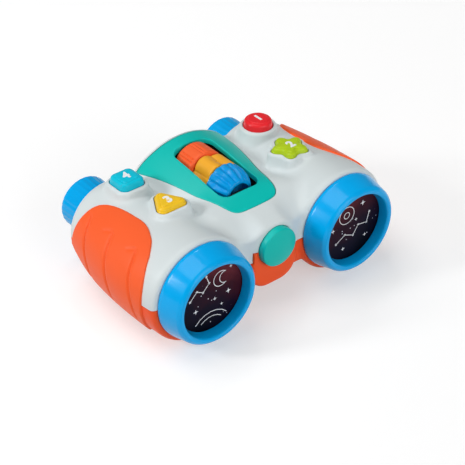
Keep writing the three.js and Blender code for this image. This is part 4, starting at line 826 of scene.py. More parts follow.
@dataclass(frozen=True)
class PressButton:
    """One press button with its raised numeral and the collar that it sits in."""

    shape: ButtonShape
    size: float
    corner: float
    x: float
    y: float
    rise: float
    flare: float
    finish: Finish
    slot: str
    numeral: str
    boss_top: float = 34.0
    boss_base: float = 20.0
    boss_floor: float = 25.0
    collar: float = 2.6
    flange: float = 1.6
    flange_thickness: float = 1.5
    stem_radius: float = 3.0
    stem_length: float = 0.6
    rim: float = 1.9
    taper: float = 0.55
    step: float = 0.8
    headroom: float = 0.3
    gap: float = 0.55
    points: int = 120
    tips: int = 5
    longest: float = 40.0
    halvings: int = 24
    flare_power: float = 1.7
    foot_inset: float = 4.0
    step_inset: float = 0.35
    face_round: float = 1.1
    face_rows: Places = ((1.9, 0.08), (2.8, 0.04), (3.6, 0.0))
    face_dip: float = 0.12
    numeral_size: float = 8.6
    numeral_height: float = 0.16
    numeral_weight: float = 0.3
    numeral_edge: float = 0.05

    @property
    def name(self) -> str:
        """Name of the button's node and body."""
        return f"{self.shape.value}_button"

    @property
    def top(self) -> float:
        """Height of the button's face, with room for the numeral under the solid's top."""
        return self.boss_top + self.rise - self.headroom

    def outside(self, x: float, y: float) -> float:
        """Distance of a plan point from the button's edge, less than 0 inside it.

        Args:
            x: Place across, from the button's middle.
            y: Place along, from the button's middle.

        Returns:
            The distance.
        """
        if self.shape is ButtonShape.ROUND:
            return math.hypot(x, y) - self.size
        if self.shape is ButtonShape.STAR:
            angle = math.atan2(y, x) - QUARTER
            return math.hypot(x, y) - self.size - self.corner * math.cos(self.tips * angle)
        if self.shape is ButtonShape.SQUARE:
            dx, dy = abs(x) - self.size + self.corner, abs(y) - self.size + self.corner
            return math.hypot(max(dx, 0), max(dy, 0)) + min(max(dx, dy), 0) - self.corner
        turns = [QUARTER + k * math.tau / 3 for k in range(3)]
        tips = [Vector((self.size * math.cos(turn), self.size * math.sin(turn))) for turn in turns]
        place = Vector((x, y))
        nearest, inside = FAR, -FAR
        for before, after in zip(tips, tips[1:] + tips[:1]):
            along = after - before
            share = min(max((place - before).dot(along) / along.length_squared, 0), 1)
            nearest = min(nearest, (place - before - along * share).length)
            inside = max(inside, (place - before).dot(Vector((along.y, -along.x)).normalized()))
        return (nearest if inside > 0 else inside) - self.corner

    def loop(self, growth: float, z: float) -> Loop:
        """Loop round the button at a height, moved out by a distance.

        Args:
            growth: How far the loop stands outside the button's edge.
            z: Its height.

        Returns:
            The loop's points, counter-clockwise.
        """
        made = []
        for i in range(self.points):
            angle = QUARTER + math.tau * i / self.points
            cosine, sine = math.cos(angle), math.sin(angle)
            low, high = 0.05, self.longest
            for _ in range(self.halvings):
                middle = (low + high) / 2
                if self.outside(middle * cosine, middle * sine) < growth:
                    low = middle
                else:
                    high = middle
            made.append(Vector((self.x + low * cosine, self.y + low * sine, z)))
        return made

    def boss(self) -> Piece:
        """Collar that flares into the shell, as a solid."""
        loops = []
        for i in range(7):
            share = i / 6
            z = lerp(self.boss_base, self.boss_top, share)
            loops.append(self.loop(self.collar + self.flare * (1 - share) ** self.flare_power, z))
        return Bench.loft("boss", loops)

    def hole(self) -> list[Piece]:
        """Cutters for the throat and for the room of the flange under it."""
        room = self.flange + CLEARANCE
        pocket = Bench.prism(self.loop(room, 0), self.boss_base - 2, self.boss_floor)
        throat = Bench.prism(self.loop(self.gap, 0), self.boss_floor - 1, self.boss_top + 2)
        return [pocket, throat]

    def cap(self) -> Piece:
        """The pressed piece: flange, wall, rounded shoulder and a raised face."""
        flange_top = self.boss_floor - CLEARANCE
        flange_foot = flange_top - self.flange_thickness
        shoulder = self.top - self.step
        loops = [
            self.loop(-self.foot_inset, flange_foot), self.loop(self.flange, flange_foot),
            self.loop(self.flange, flange_top), self.loop(0, flange_top), self.loop(0, self.boss_top)]
        for angle in quarter(8):
            inset = self.taper + self.rim * (1 - math.cos(angle))
            loops.append(self.loop(-inset, shoulder - self.rim * (1 - math.sin(angle))))
        edge = self.taper + self.rim + self.step_inset
        for angle in quarter(6):
            rounding = self.face_round * (1 - math.cos(angle))
            high = shoulder + (self.step - self.face_dip) * math.sin(angle)
            loops.append(self.loop(-edge - rounding, high))
        for inset, drop in self.face_rows:
            loops.append(self.loop(-edge - inset, self.top - drop))
        cap = Bench.loft("cap", loops)
        stem = Bench.post(
            self.x, self.y, self.stem_radius, flange_foot - self.stem_length, flange_foot + 0.5)
        return Bench.work(cap, Operation.JOIN, stem)

    def mark(self) -> Piece:
        """Raised numeral on the button's face."""
        text = bpy.data.curves.new("numeral", "FONT")
        text.body = self.numeral
        text.size = self.numeral_size
        text.align_x = "CENTER"
        text.align_y = "CENTER"
        text.extrude = self.numeral_height
        text.offset = self.numeral_weight
        text.bevel_depth = self.numeral_edge
        text.resolution_u = 6
        holder = bpy.data.objects.new("numeral", text)
        bpy.context.scene.collection.objects.link(holder)
        bpy.context.view_layer.update()
        graph = bpy.context.evaluated_depsgraph_get()
        data = bpy.data.meshes.new_from_object(holder.evaluated_get(graph))
        bpy.data.objects.remove(holder)
        bpy.data.curves.remove(text)
        mesh = bmesh.new()
        mesh.from_mesh(data)
        bpy.data.meshes.remove(data)
        bmesh.ops.remove_doubles(mesh, verts=mesh.verts, dist=MERGE)
        middle = sum((v.co for v in mesh.verts), Vector()) / len(mesh.verts)
        bmesh.ops.translate(mesh, verts=mesh.verts, vec=(self.x - middle.x, self.y - middle.y, self.top))
        return Bench.blank("numeral", mesh)

    def build(self, dresser: Dresser) -> None:
        """Make the button and its numeral."""
        dresser.dress(
            self.cap(), f"{self.name}_cap", self.finish.material(), self.name, [self.name])
        dresser.dress(
            self.mark(), f"{self.name}_numeral", Finish.PRINT.material(), self.name)


@dataclass(frozen=True)
class TopPanel:
    """Coloured panel on the bridge with the window that the rollers show through."""

    form: BodyForm
    thickness: float = 2.0
    front_from_front: float = 30.9
    cheek_rise: float = 1.5
    chin_half_width: float = 18.0
    shoulder_from_front: float = 47.3
    shoulder_half_width: float = 21.3
    back_half_width: float = 34.0
    back_rim: float = 2.6
    window_front: float = -22.4
    window_back: float = 29.0
    window_half_width: float = 14.5
    window_corner: float = 6.0
    edge: float = 0.9
    flange: float = 0.55
    flange_depth: float = 3.4
    spokes: int = 288
    rows: int = 14
    curve_points: int = 20
    window_points: int = 64

    def outline(self) -> Loop:
        """Plan loop of the panel, counter-clockwise from the back's right corner."""
        back = self.form.bridge_back - self.back_rim
        shoulder = self.form.front + self.shoulder_from_front
        front = self.form.front + self.front_from_front
        slope = (self.back_half_width - self.shoulder_half_width) / (back - shoulder)
        cheek_y = front + self.cheek_rise
        cheek_x = self.shoulder_half_width - slope * (shoulder - cheek_y)
        chin_x = self.chin_half_width
        corners = [Vector((-self.shoulder_half_width, shoulder, 0)), Vector((-cheek_x, cheek_y, 0)),
                   Vector((-chin_x, front, 0)), Vector((0, front, 0))]
        left = interpolate_bezier(*corners, self.curve_points)
        right = [Vector((-p.x, p.y, 0)) for p in reversed(left[:-1])]
        wide = self.back_half_width
        return [Vector((wide, back, 0)), Vector((-wide, back, 0)), *left, *right]

    def window(self, growth: float = 0.0) -> Loop:
        """Plan loop of the roller window, moved out by a distance."""
        middle = (self.window_front + self.window_back) / 2
        half_length = (self.window_back - self.window_front) / 2 - self.window_corner
        half_width = self.window_half_width - self.window_corner
        made = []
        for i in range(self.window_points):
            angle = math.tau * (i + 0.5) / self.window_points
            cosine, sine = math.cos(angle), math.sin(angle)
            x = math.copysign(half_width, cosine) + (self.window_corner + growth) * cosine
            y = middle + math.copysign(half_length, sine) + (self.window_corner + growth) * sine
            made.append(Vector((x, y, 0)))
        return made

    @staticmethod
    def meet(loop: Loop, middle: Vector, angle: float) -> Vector:
        """Plan point where a ray from the middle meets a loop.

        Args:
            loop: The loop's points.
            middle: Where the ray starts.
            angle: Which way it runs.

        Returns:
            The point.
        """
        ray = Vector((math.cos(angle), math.sin(angle), 0))
        reach = 0.0
        for before, after in zip(loop, [*loop[1:], loop[0]]):
            side, start = after - before, before - middle
            spread = ray.x * side.y - ray.y * side.x
            if abs(spread) < 1e-9:
                continue
            share = (start.x * ray.y - start.y * ray.x) / spread
            if -1e-6 <= share <= 1 + 1e-6:
                reach = max(reach, (start.x * side.y - start.y * side.x) / spread)
        return middle + ray * reach

    def surface(self, spot: Vector) -> float:
        """Height of the bridge's roof over a plan point."""
        return self.form.reach(True, abs(spot.x), spot.y, 0, True)

    def profile(self) -> list[tuple[float, float, float, float]]:
        """Section of the panel from its window to its outline and back underneath.

        Returns:
            For each row: inset from the window, inset from the outline, share of the way, depth.
        """
        inner = [
            (self.edge * (1 - math.cos(a)), 0.0, 0.0, self.edge * (1 - math.sin(a))) for a in quarter(5)]
        outer = [(0.0, inset, 1.0, depth) for inset, _, _, depth in reversed(inner)]
        top = [(self.edge, self.edge, k / self.rows, 0.0) for k in range(1, self.rows)]
        under = [(self.flange, 0.0, 1 - k / 6, self.thickness) for k in range(7)]
        return inner + top + outer + under

    def build(self, dresser: Dresser) -> None:
        """Make the panel over the bridge's own roof, with a flange down round the window."""
        middle = Vector((0, (self.window_front + self.window_back) / 2, 0))
        outline = self.outline()
        corners = [math.atan2(p.y - middle.y, p.x - middle.x) for p in outline[:2]]
        angles = sorted([*corners, *(math.tau * i / self.spokes - math.pi for i in range(self.spokes))])
        rays = [Vector((math.cos(angle), math.sin(angle), 0)) for angle in angles]
        near = [self.meet(self.window(), middle, angle) for angle in angles]
        far = [self.meet(outline, middle, angle) for angle in angles]
        loops = []
        for start, end, share, depth in self.profile():
            loop = []
            for ray, inner, outer in zip(rays, near, far):
                spot = (inner + ray * start).lerp(outer - ray * end, share)
                loop.append(Vector((spot.x, spot.y, self.surface(spot) - depth)))
            loops.append(loop)
        for inset in (self.flange, 0.0):
            spots = [inner + ray * inset for ray, inner in zip(rays, near)]
            loops.append([Vector((p.x, p.y, self.surface(p) - self.flange_depth)) for p in spots])
        panel = Bench.loft("panel", loops, ring=True)
        dresser.dress(
            panel, "panel", Finish.MINT.material(), nodes=["top_panel"], crease=MOULDED_CREASE)


@dataclass(frozen=True)
class Nose:
    """Domed cap on the bridge's front and the cup round it."""

    form: BodyForm
    z: float = 7.2
    radius: float = 12.7
    cup_wall: float = 3.4
    cup_from_front: float = 14.4
    cup_depth: float = 6.8
    seat_depth: float = 3.6
    rise: float = 3.3
    edge: float = 1.1
    dome: float = 1.5
    brow_top: float = 21.2
    brow_slope: float = 2.2
    brow_half_width: float = 27.0
    brow_start: float = 11.0
    brow_end: float = 23.0
    brow_depth: float = 4.0
    brow_recess: float = 0.6
    brow_foot: float = -8.0
    brow_columns: int = 40
    chin_half_width: float = 17.2
    chin_corner: float = 12.0
    chin_stations: Places = (
        (-52.6, -20.4), (-51.0, -21.4), (-48.0, -20.4), (-40.0, -13.5))
    chin_top: float = 1.2
    web_half_width: float = 30.0
    web_section: Places = (
        (-48.0, -3.0), (-48.0, -18.6), (-45.6, -19.6), (-38.0, -14.0), (-38.0, -3.0))

    @property
    def cup_front(self) -> float:
        """Place of the cup's front."""
        return self.form.front + self.cup_from_front

    def brow(self) -> Piece:
        """Front edge of the bridge's roof, which bows forward over the cap, as a solid."""
        steps = self.brow_columns
        back, skirt = self.form.bridge_front + self.brow_depth, self.brow_foot
        loops = []
        for i in range(steps + 1):
            x = lerp(-self.brow_half_width, self.brow_half_width, i / steps)
            bow = smoothstep(abs(x), self.brow_start, self.brow_end)
            front = lerp(self.cup_front, self.form.bridge_front - self.brow_recess, bow)
            high = self.brow_top - self.form.brow_drop(abs(x))
            loops.append([
                Vector((x, front, skirt)), Vector((x, back, skirt)),
                Vector((x, back, high + self.brow_slope)), Vector((x, front, high))])
        return Bench.loft("brow", loops)

    def chin(self) -> Piece:
        """Rounded chin of the lower shell under the cap, as a solid."""
        width, corner = self.chin_half_width, self.chin_corner
        loops = []
        for y, low in self.chin_stations:
            right = [Vector((width, y, self.chin_top))]
            for angle in quarter(8):
                inset, drop = corner * (1 - math.cos(angle)), corner * (1 - math.sin(angle))
                right.append(Vector((width - inset, y, low + drop)))
            left = [Vector((-p.x, p.y, p.z)) for p in reversed(right)]
            loops.append([*right, *left])
        return Bench.loft("chin", loops)

    def web(self) -> Piece:
        """Deep front edge of the bridge's floor between the barrels, as a solid."""
        ends = (-self.web_half_width, self.web_half_width)
        return Bench.loft("web", [[Vector((x, y, z)) for y, z in self.web_section] for x in ends])

    def cup(self) -> Piece:
        """Lower cup with its two fins, as a solid."""
        radius, back = self.radius + self.cup_wall, self.cup_front + self.cup_depth
        cup = Bench.bar(0, self.z, radius, self.cup_front, back)
        fins = Bench.box((-radius, self.cup_front, -self.z), (radius, back, self.z))
        Bench.soften(Bench.work(cup, Operation.JOIN, fins), voxel=0.7, passes=6)
        below = Bench.box((-FAR, -FAR, -FAR), (FAR, FAR, self.z - CLEARANCE / 2))
        return Bench.work(cup, Operation.KEEP, below)

    def seat(self) -> Piece:
        """Cutter for the seat that the cap sits in."""
        back = self.cup_front + self.seat_depth
        return Bench.bar(0, self.z, self.radius + CLEARANCE, self.cup_front - 3, back)

    def build(self, dresser: Dresser) -> None:
        """Make the domed cap."""
        back = self.cup_front + self.seat_depth - CLEARANCE
        rim = self.cup_front - self.rise
        profile = [(0.0, back), (self.radius, back)]
        for angle in quarter(5):
            inset, drop = self.edge * (1 - math.cos(angle)), self.edge * math.sin(angle)
            profile.append((self.radius - inset, rim - drop))
        for i in range(1, 17):
            share = 1 - i / 16
            reach = (self.radius - self.edge) * share
            profile.append((reach, rim - self.edge - self.dome * (1 - share * share)))
        cap = Bench.turned("nose", profile, 0, self.z)
        dresser.dress(cap, "nose_dome", Finish.MINT.material(), nodes=["nose_cap"])


@dataclass(frozen=True)
class Housing:
    """White upper shell and orange lower shell."""

    form: BodyForm
    buttons: Sequence[PressButton]
    panel: TopPanel
    nose: Nose
    parting_gap: float = 0.3
    ring_spigot: float = 28.6
    eyecup_spigot: float = 14.0
    eyecup_bore: float = 6.0
    overrun: float = 3.0
    rib_front: float = -47.8
    speaker_z: float = 15.5
    speaker_radius: float = 13.0
    slot_count: int = 5
    slot_pitch: float = 4.0
    slot_width: float = 1.8
    post_x: float = 72.0
    post_rows: Place = (38.0, 84.0)
    post_radius: float = 4.6
    head_radius: float = 3.0
    shank_radius: float = 1.4
    head_seat: float = 10.0
    door_half_width: float = 12.95
    door_front: float = -22.6
    door_back: float = 35.6
    door_depth: float = 11.0
    switch_y: float = -34.6
    switch_half_width: float = 5.8
    switch_half_length: float = 2.5
    switch_depth: float = 9.0

    @property
    def posts(self) -> list[Place]:
        """Plan places of the case screws."""
        return [(side.value * self.post_x, self.form.front + y) for side in Side for y in self.post_rows]

    def bores(self) -> list[Piece]:
        """Cutters for the lens rings, the eyecups and the nose."""
        cuts = [self.nose.seat()]
        for side in Side:
            x = side.value * self.form.barrel_x
            start, end = self.form.barrel_front - self.overrun, self.form.barrel_back + self.overrun
            cuts.append(Bench.bar(x, 0, self.ring_spigot + CLEARANCE, start, self.rib_front))
            floor = self.form.barrel_back - self.eyecup_bore
            cuts.append(Bench.bar(x, 0, self.eyecup_spigot + CLEARANCE, floor, end))
        return cuts

    def slots(self) -> list[Piece]:
        """Cutters for the speaker slots in the bridge's back wall."""
        cuts = []
        for i in range(self.slot_count):
            x = (i - (self.slot_count - 1) / 2) * self.slot_pitch
            half = math.sqrt((self.speaker_radius - self.form.wall) ** 2 - x * x)
            wall = self.form.bridge_back
            low = (x - self.slot_width / 2, wall - self.form.wall - 1, self.speaker_z - half)
            cuts.append(Bench.box(low, (x + self.slot_width / 2, wall + 1, self.speaker_z + half)))
        return cuts

    def upper(self) -> Piece:
        """White shell with its collars, panel opening and brow."""
        shell = self.form.half(True, 0.0)
        Bench.work(shell, Operation.JOIN, *[button.boss() for button in self.buttons])
        Bench.work(shell, Operation.JOIN, self.nose.brow())
        Bench.soften(shell, voxel=0.8, passes=12)
        Bench.work(shell, Operation.CUT, self.form.half(True, -self.form.wall))
        for button in self.buttons:
            Bench.work(shell, Operation.CUT, *button.hole())
        opening = Bench.prism(Bench.grown(self.panel.outline(), CLEARANCE), self.nose.z, FAR)
        Bench.work(shell, Operation.CUT, opening, *self.bores())
        side = self.nose.radius + self.nose.cup_wall + CLEARANCE
        back = self.nose.cup_front + self.nose.cup_depth + CLEARANCE
        return Bench.work(
            shell, Operation.CUT,
            Bench.box((-FAR, -FAR, -FAR), (FAR, FAR, self.parting_gap / 2)),
            Bench.box((-side, -FAR, -FAR), (side, back, self.nose.z + self.parting_gap / 2)), *self.slots())

    def lower(self) -> Piece:
        """Orange shell with its nose cup, battery opening, switch slot and screw wells."""
        shell = Bench.work(self.form.half(False, 0.0), Operation.JOIN, self.nose.web(), self.nose.chin())
        Bench.soften(shell, voxel=0.9, passes=8)
        Bench.work(shell, Operation.CUT, self.form.half(False, -self.form.wall))
        for x, y in self.posts:
            well = Bench.post(x, y, self.post_radius, -FAR, 1.0)
            Bench.work(well, Operation.KEEP, self.form.half(False, -self.form.wall / 2))
            Bench.work(shell, Operation.JOIN, well)
        Bench.work(shell, Operation.CUT, Bench.box((-FAR, -FAR, -self.parting_gap / 2), (FAR, FAR, FAR)))
        Bench.work(shell, Operation.JOIN, self.nose.cup())
        Bench.work(shell, Operation.CUT, *self.bores())
        half, wide, long = self.door_half_width, self.switch_half_width, self.switch_half_length
        cuts = [
            Bench.box((-half, self.door_front, -FAR), (half, self.door_back, -self.door_depth)),
            Bench.box((-wide, self.switch_y - long, -FAR), (wide, self.switch_y + long, -self.switch_depth))]
        for x, y in self.posts:
            cuts.append(Bench.post(x, y, self.head_radius + CLEARANCE, -FAR, -self.head_seat))
            cuts.append(Bench.post(x, y, self.shank_radius + CLEARANCE, -FAR, self.overrun))
        return Bench.work(shell, Operation.CUT, *cuts)

    def build(self, dresser: Dresser) -> None:
        """Make both shells."""
        white, orange = Finish.WHITE.material(), Finish.ORANGE.material()
        dresser.dress(self.upper(), "white_shell", white, nodes=["upper_shell"])
        dresser.dress(self.lower(), "orange_shell", orange, nodes=["lower_shell"])


@dataclass(frozen=True)
class SideGrip:
    """Leaf-shaped grip on a barrel's side with flowing grooves."""

    form: BodyForm
    rise: float = 1.1
    inlay: float = 0.4
    edge_round: float = 1.6
    groove_depth: float = 0.95
    groove_half_width: float = 0.7
    groove_count: int = 3
    groove_start: float = 43.5
    groove_pitch: float = 24.0
    groove_path: Places = (
        (7.0, 25.0), (0.0, 26.6), (-4.0, 12.0), (-9.0, -3.4), (-10.0, -16.0))
    groove_steps: int = 40
    groove_fade: Place = (0.4, 2.6)
    steep_side: float = 0.55
    under: float = 0.6
    length: float = 72.0
    front_edge: Places = ((29.0, -26.7), (26.0, -8.0), (26.6, 12.0), (33.0, 29.6))
    crown: Places = (
        (33.0, 29.6), (42.0, 39.6), (60.0, 45.6), (92.0, 37.0), (103.5, -3.0))
    keel: Places = ((29.0, -26.7), (70.0, -22.0), (103.5, -3.0))
    columns: int = 130
    rows: int = 140

    @staticmethod
    def spline(points: Sequence[Place], share: float) -> Vector:
        """Point on a smooth curve through places.

        Args:
            points: The places, each along and round the barrel.
            share: How far along the curve.

        Returns:
            The point.
        """
        spot = share * (len(points) - 1)
        index = min(int(spot), len(points) - 2)
        t = spot - index
        near = [min(max(index + k, 0), len(points) - 1) for k in (-1, 0, 1, 2)]
        p0, p1, p2, p3 = (Vector(points[i]) for i in near)
        v0, v1 = (p2 - p0) / 2, (p3 - p1) / 2
        cubic, square = 2 * p1 - 2 * p2 + v0 + v1, -3 * p1 + 3 * p2 - 2 * v0 - v1
        return cubic * t ** 3 + square * t ** 2 + v0 * t + p1

    def leaf(self, u: float, v: float) -> Vector:
        """Place on the leaf: u from its front edge to its heel, v from its keel to its crown."""
        straight = Vector(self.front_edge[0]).lerp(Vector(self.front_edge[-1]), v)
        bulge = (self.spline(self.front_edge, v) - straight) * (1 - u)
        return self.spline(self.keel, u).lerp(self.spline(self.crown, u), v) + bulge

    def grooves(self) -> list[list[Vector]]:
        """Points along each groove, which hooks at its top and runs down to the keel."""
        lines = []
        for k in range(self.groove_count):
            start = self.groove_start + self.groove_pitch * k
            places = [(start + along, arc) for along, arc in self.groove_path]
            shares = [i / self.groove_steps for i in range(self.groove_steps + 1)]
            lines.append([self.spline(places, share) for share in shares])
        return lines

    @staticmethod
    def aside(place: Vector, start: Vector, end: Vector) -> float:
        """Distance of a place from a straight stretch of a groove."""
        along = end - start
        share = min(max((place - start).dot(along) / along.length_squared, 0.0), 1.0)
        return (place - start - along * share).length

    def height(self, place: Vector, edge: float, lines: Sequence[Sequence[Vector]]) -> float:
        """Height of the grip's skin off the barrel.

        Args:
            place: Place along and round the barrel.
            edge: Distance from the leaf's edge.
            lines: The grooves' points.

        Returns:
            The height.
        """
        share = min(edge / self.edge_round, 1.0)
        height = lerp(-self.inlay, self.rise, math.sqrt(1 - (1 - share) ** 2))
        depth = self.groove_depth * smoothstep(edge, *self.groove_fade)
        for line in lines:
            near = min(range(1, len(line) - 1), key=lambda i: (line[i] - place).length_squared)
            gap = min(self.aside(place, line[i], line[i + 1]) for i in (near - 1, near))
            fade = math.sin(math.pi * (near + 2) / (len(line) + 3)) ** 0.5
            behind = 1 if place.x > line[near].x else self.steep_side
            height -= depth * fade * math.exp(-(gap / (self.groove_half_width / behind)) ** 2)
        return height

    def solid(self, side: Side) -> Piece:
        """The grip of one barrel."""
        mesh = bmesh.new()
        bmesh.ops.create_grid(mesh, x_segments=self.columns, y_segments=self.rows, size=1.0)
        spots = {vert: ((vert.co.x + 1) / 2, (vert.co.y + 1) / 2) for vert in mesh.verts}
        lines = self.grooves()
        under = {}
        for vert, (u, v) in spots.items():
            place = self.leaf(u, v)
            span = (self.leaf(u, 1.0) - self.leaf(u, 0.0)).length
            edge = min(v * span, (1 - v) * span, u * self.length, (1 - u) * self.length + span / 4)
            height = self.height(place, edge, lines)
            y = self.form.front + place.x
            vert.co = self.form.side_point(side, y, place.y, height)
            under[vert.index] = self.form.side_point(side, y, place.y, -self.inlay - self.under)
        number = mesh.verts.layers.int.new("number")
        for vert in mesh.verts:
            vert[number] = vert.index
        made = bmesh.ops.extrude_face_region(mesh, geom=list(mesh.faces))["geom"]
        for vert in new_verts(made):
            vert.co = under[vert[number]]
        bmesh.ops.remove_doubles(mesh, verts=mesh.verts, dist=MERGE)
        return Bench.blank("grip", mesh)

    def build(self, dresser: Dresser) -> None:
        """Make both grips."""
        for side in Side:
            node = f"{side.word}_side_grip"
            dresser.dress(
                self.solid(side), f"{side.word}_grip", Finish.GRIP.material(), nodes=[node])


@dataclass(frozen=True)
class LensUnit:
    """Lens ring with its printed picture disc, and the eyecup with its clear lens."""

    form: BodyForm
    opening: float = 24.2
    rim: float = 28.8
    base: float = 31.5
    spigot: float = 28.6
    bore: float = 26.2
    base_band: float = 2.4
    rim_round: float = 1.8
    rim_swell: float = 0.35
    swell_from_front: float = 3.4
    ring_edge: float = 0.55
    ring_faces: int = 128
    lens_depth: float = 7.0
    lip: float = 1.2
    disc_thickness: float = 2.0
    light_board_back: float = -48.1
    cup_radius: float = 17.3
    cup_neck: float = 16.6
    cup_lip: float = 13.6
    cup_spigot: float = 14.0
    cup_bore: float = 11.0
    cup_round: float = 2.2
    cup_bevel: float = 0.6
    cup_tail: float = 4.0
    rib_start: float = 1.5
    rib_end: float = 3.4
    lip_rows: Places = ((0.8, 0.0), (0.2, 0.3), (0.0, 1.0))
    flutes: int = 28
    flute_depth: float = 0.35
    eye_radius: float = 12.3
    eye_depth: float = 16.0
    eye_thickness: float = 2.0
    eye_crown: float = 1.0
    sky_turns: tuple[float, float] = (0.5, -0.4)

    def ring(self, x: float) -> Piece:
        """Turned lens ring with soft edges."""
        front, seat = self.form.front, self.form.barrel_front - CLEARANCE
        lens = front + self.lens_depth
        outer = [
            (self.base, seat), (self.base, seat - self.base_band),
            (self.rim + self.rim_swell, front + self.swell_from_front),
            (self.rim, front + self.rim_round), (self.rim - self.rim_round, front),
            (self.opening + self.rim_round / 2, front), (self.opening, front + self.rim_round / 2),
            (self.opening - self.lip, lens), (self.bore, lens), (self.bore, self.light_board_back),
            (self.spigot, self.light_board_back), (self.spigot, seat)]
        return Bench.turned("ring", outer, x, 0, self.ring_faces, self.ring_edge)

    def disc(self, x: float) -> Piece:
        """Printed picture disc, a little domed towards its back."""
        start = self.form.front + self.lens_depth + CLEARANCE
        edge = self.bore - CLEARANCE
        profile = [(0, start), (edge - 0.4, start), (edge, start + 0.4)]
        profile += [(edge, start + self.disc_thickness), (0, start + self.disc_thickness)]
        return Bench.turned("disc", profile, x, 0)

    def cup(self, x: float) -> Piece:
        """Eyecup with fine ribs along it and a soft lip."""
        seat, back = self.form.barrel_back + CLEARANCE, self.form.back
        end = self.form.barrel_back - self.cup_tail
        lens = back - self.eye_depth
        places = [
            (self.cup_spigot, end, 0.0), (self.cup_spigot, seat, 0.0),
            (self.cup_neck - self.cup_bevel, seat, 0.0), (self.cup_neck, seat + self.cup_bevel, 0.4)]
        for k in range(7):
            reach = lerp(self.cup_neck, self.cup_radius, k / 6)
            places.append((reach, lerp(seat + self.rib_start, back - self.rib_end, k / 6), 1.0))
        for k, angle in enumerate(quarter(6)):
            inset, drop = self.cup_round * (1 - math.cos(angle)), self.cup_round * (1 - math.sin(angle))
            places.append((self.cup_radius - inset, back - drop, 0.6 * (1 - k / 6)))
        places += [(self.cup_lip + out, back - drop, 0.0) for out, drop in self.lip_rows]
        wide = self.eye_radius + CLEARANCE
        places += [(wide, lens + self.eye_thickness, 0.0), (wide, lens, 0.0), (self.cup_bore, lens, 0.0)]
        places.append((self.cup_bore, end, 0.0))
        count = 6 * self.flutes
        loops = []
        for radius, y, share in places:
            loop = []
            for i in range(count):
                angle = math.tau * i / count
                rib = abs(math.sin(self.flutes * angle / 2))
                reach = radius - self.flute_depth * share * (1 - rib)
                loop.append(Vector((x + reach * math.cos(angle), y, reach * math.sin(angle))))
            loops.append(loop)
        return Bench.loft("cup", loops, ring=True)

    def eye(self, x: float) -> Piece:
        """Clear crowned eyepiece lens."""
        front = self.form.back - self.eye_depth + CLEARANCE
        rim = front + self.eye_thickness
        profile = [(0.0, front), (self.eye_radius, front)]
        for angle in quarter(12):
            reach = self.eye_radius * math.cos(angle) if angle < QUARTER else 0.0
            profile.append((reach, rim + self.eye_crown * math.sin(angle)))
        return Bench.turned("eye", profile, x, 0)

    def build(self, dresser: Dresser) -> None:
        """Make both barrels' lenses."""
        blue = Finish.BLUE.material()
        for side, turn in zip(Side, self.sky_turns):
            x, word = side.value * self.form.barrel_x, side.word
            dresser.dress(self.ring(x), f"{word}_ring", blue, nodes=[f"{word}_lens_ring"])
            middle = Vector((x, self.form.front + self.lens_depth, self.form.axis_height))
            night = SkyFinish(f"{word}_night_sky", middle, turn).material()
            dresser.dress(self.disc(x), f"{word}_picture", night, nodes=[f"{word}_lens_disc"])
            dresser.dress(self.cup(x), f"{word}_cup", blue, nodes=[f"{word}_eyecup"])
            dresser.dress(
                self.eye(x), f"{word}_eye", Finish.CLEAR.material(),
                nodes=[f"{word}_eyepiece_lens"])


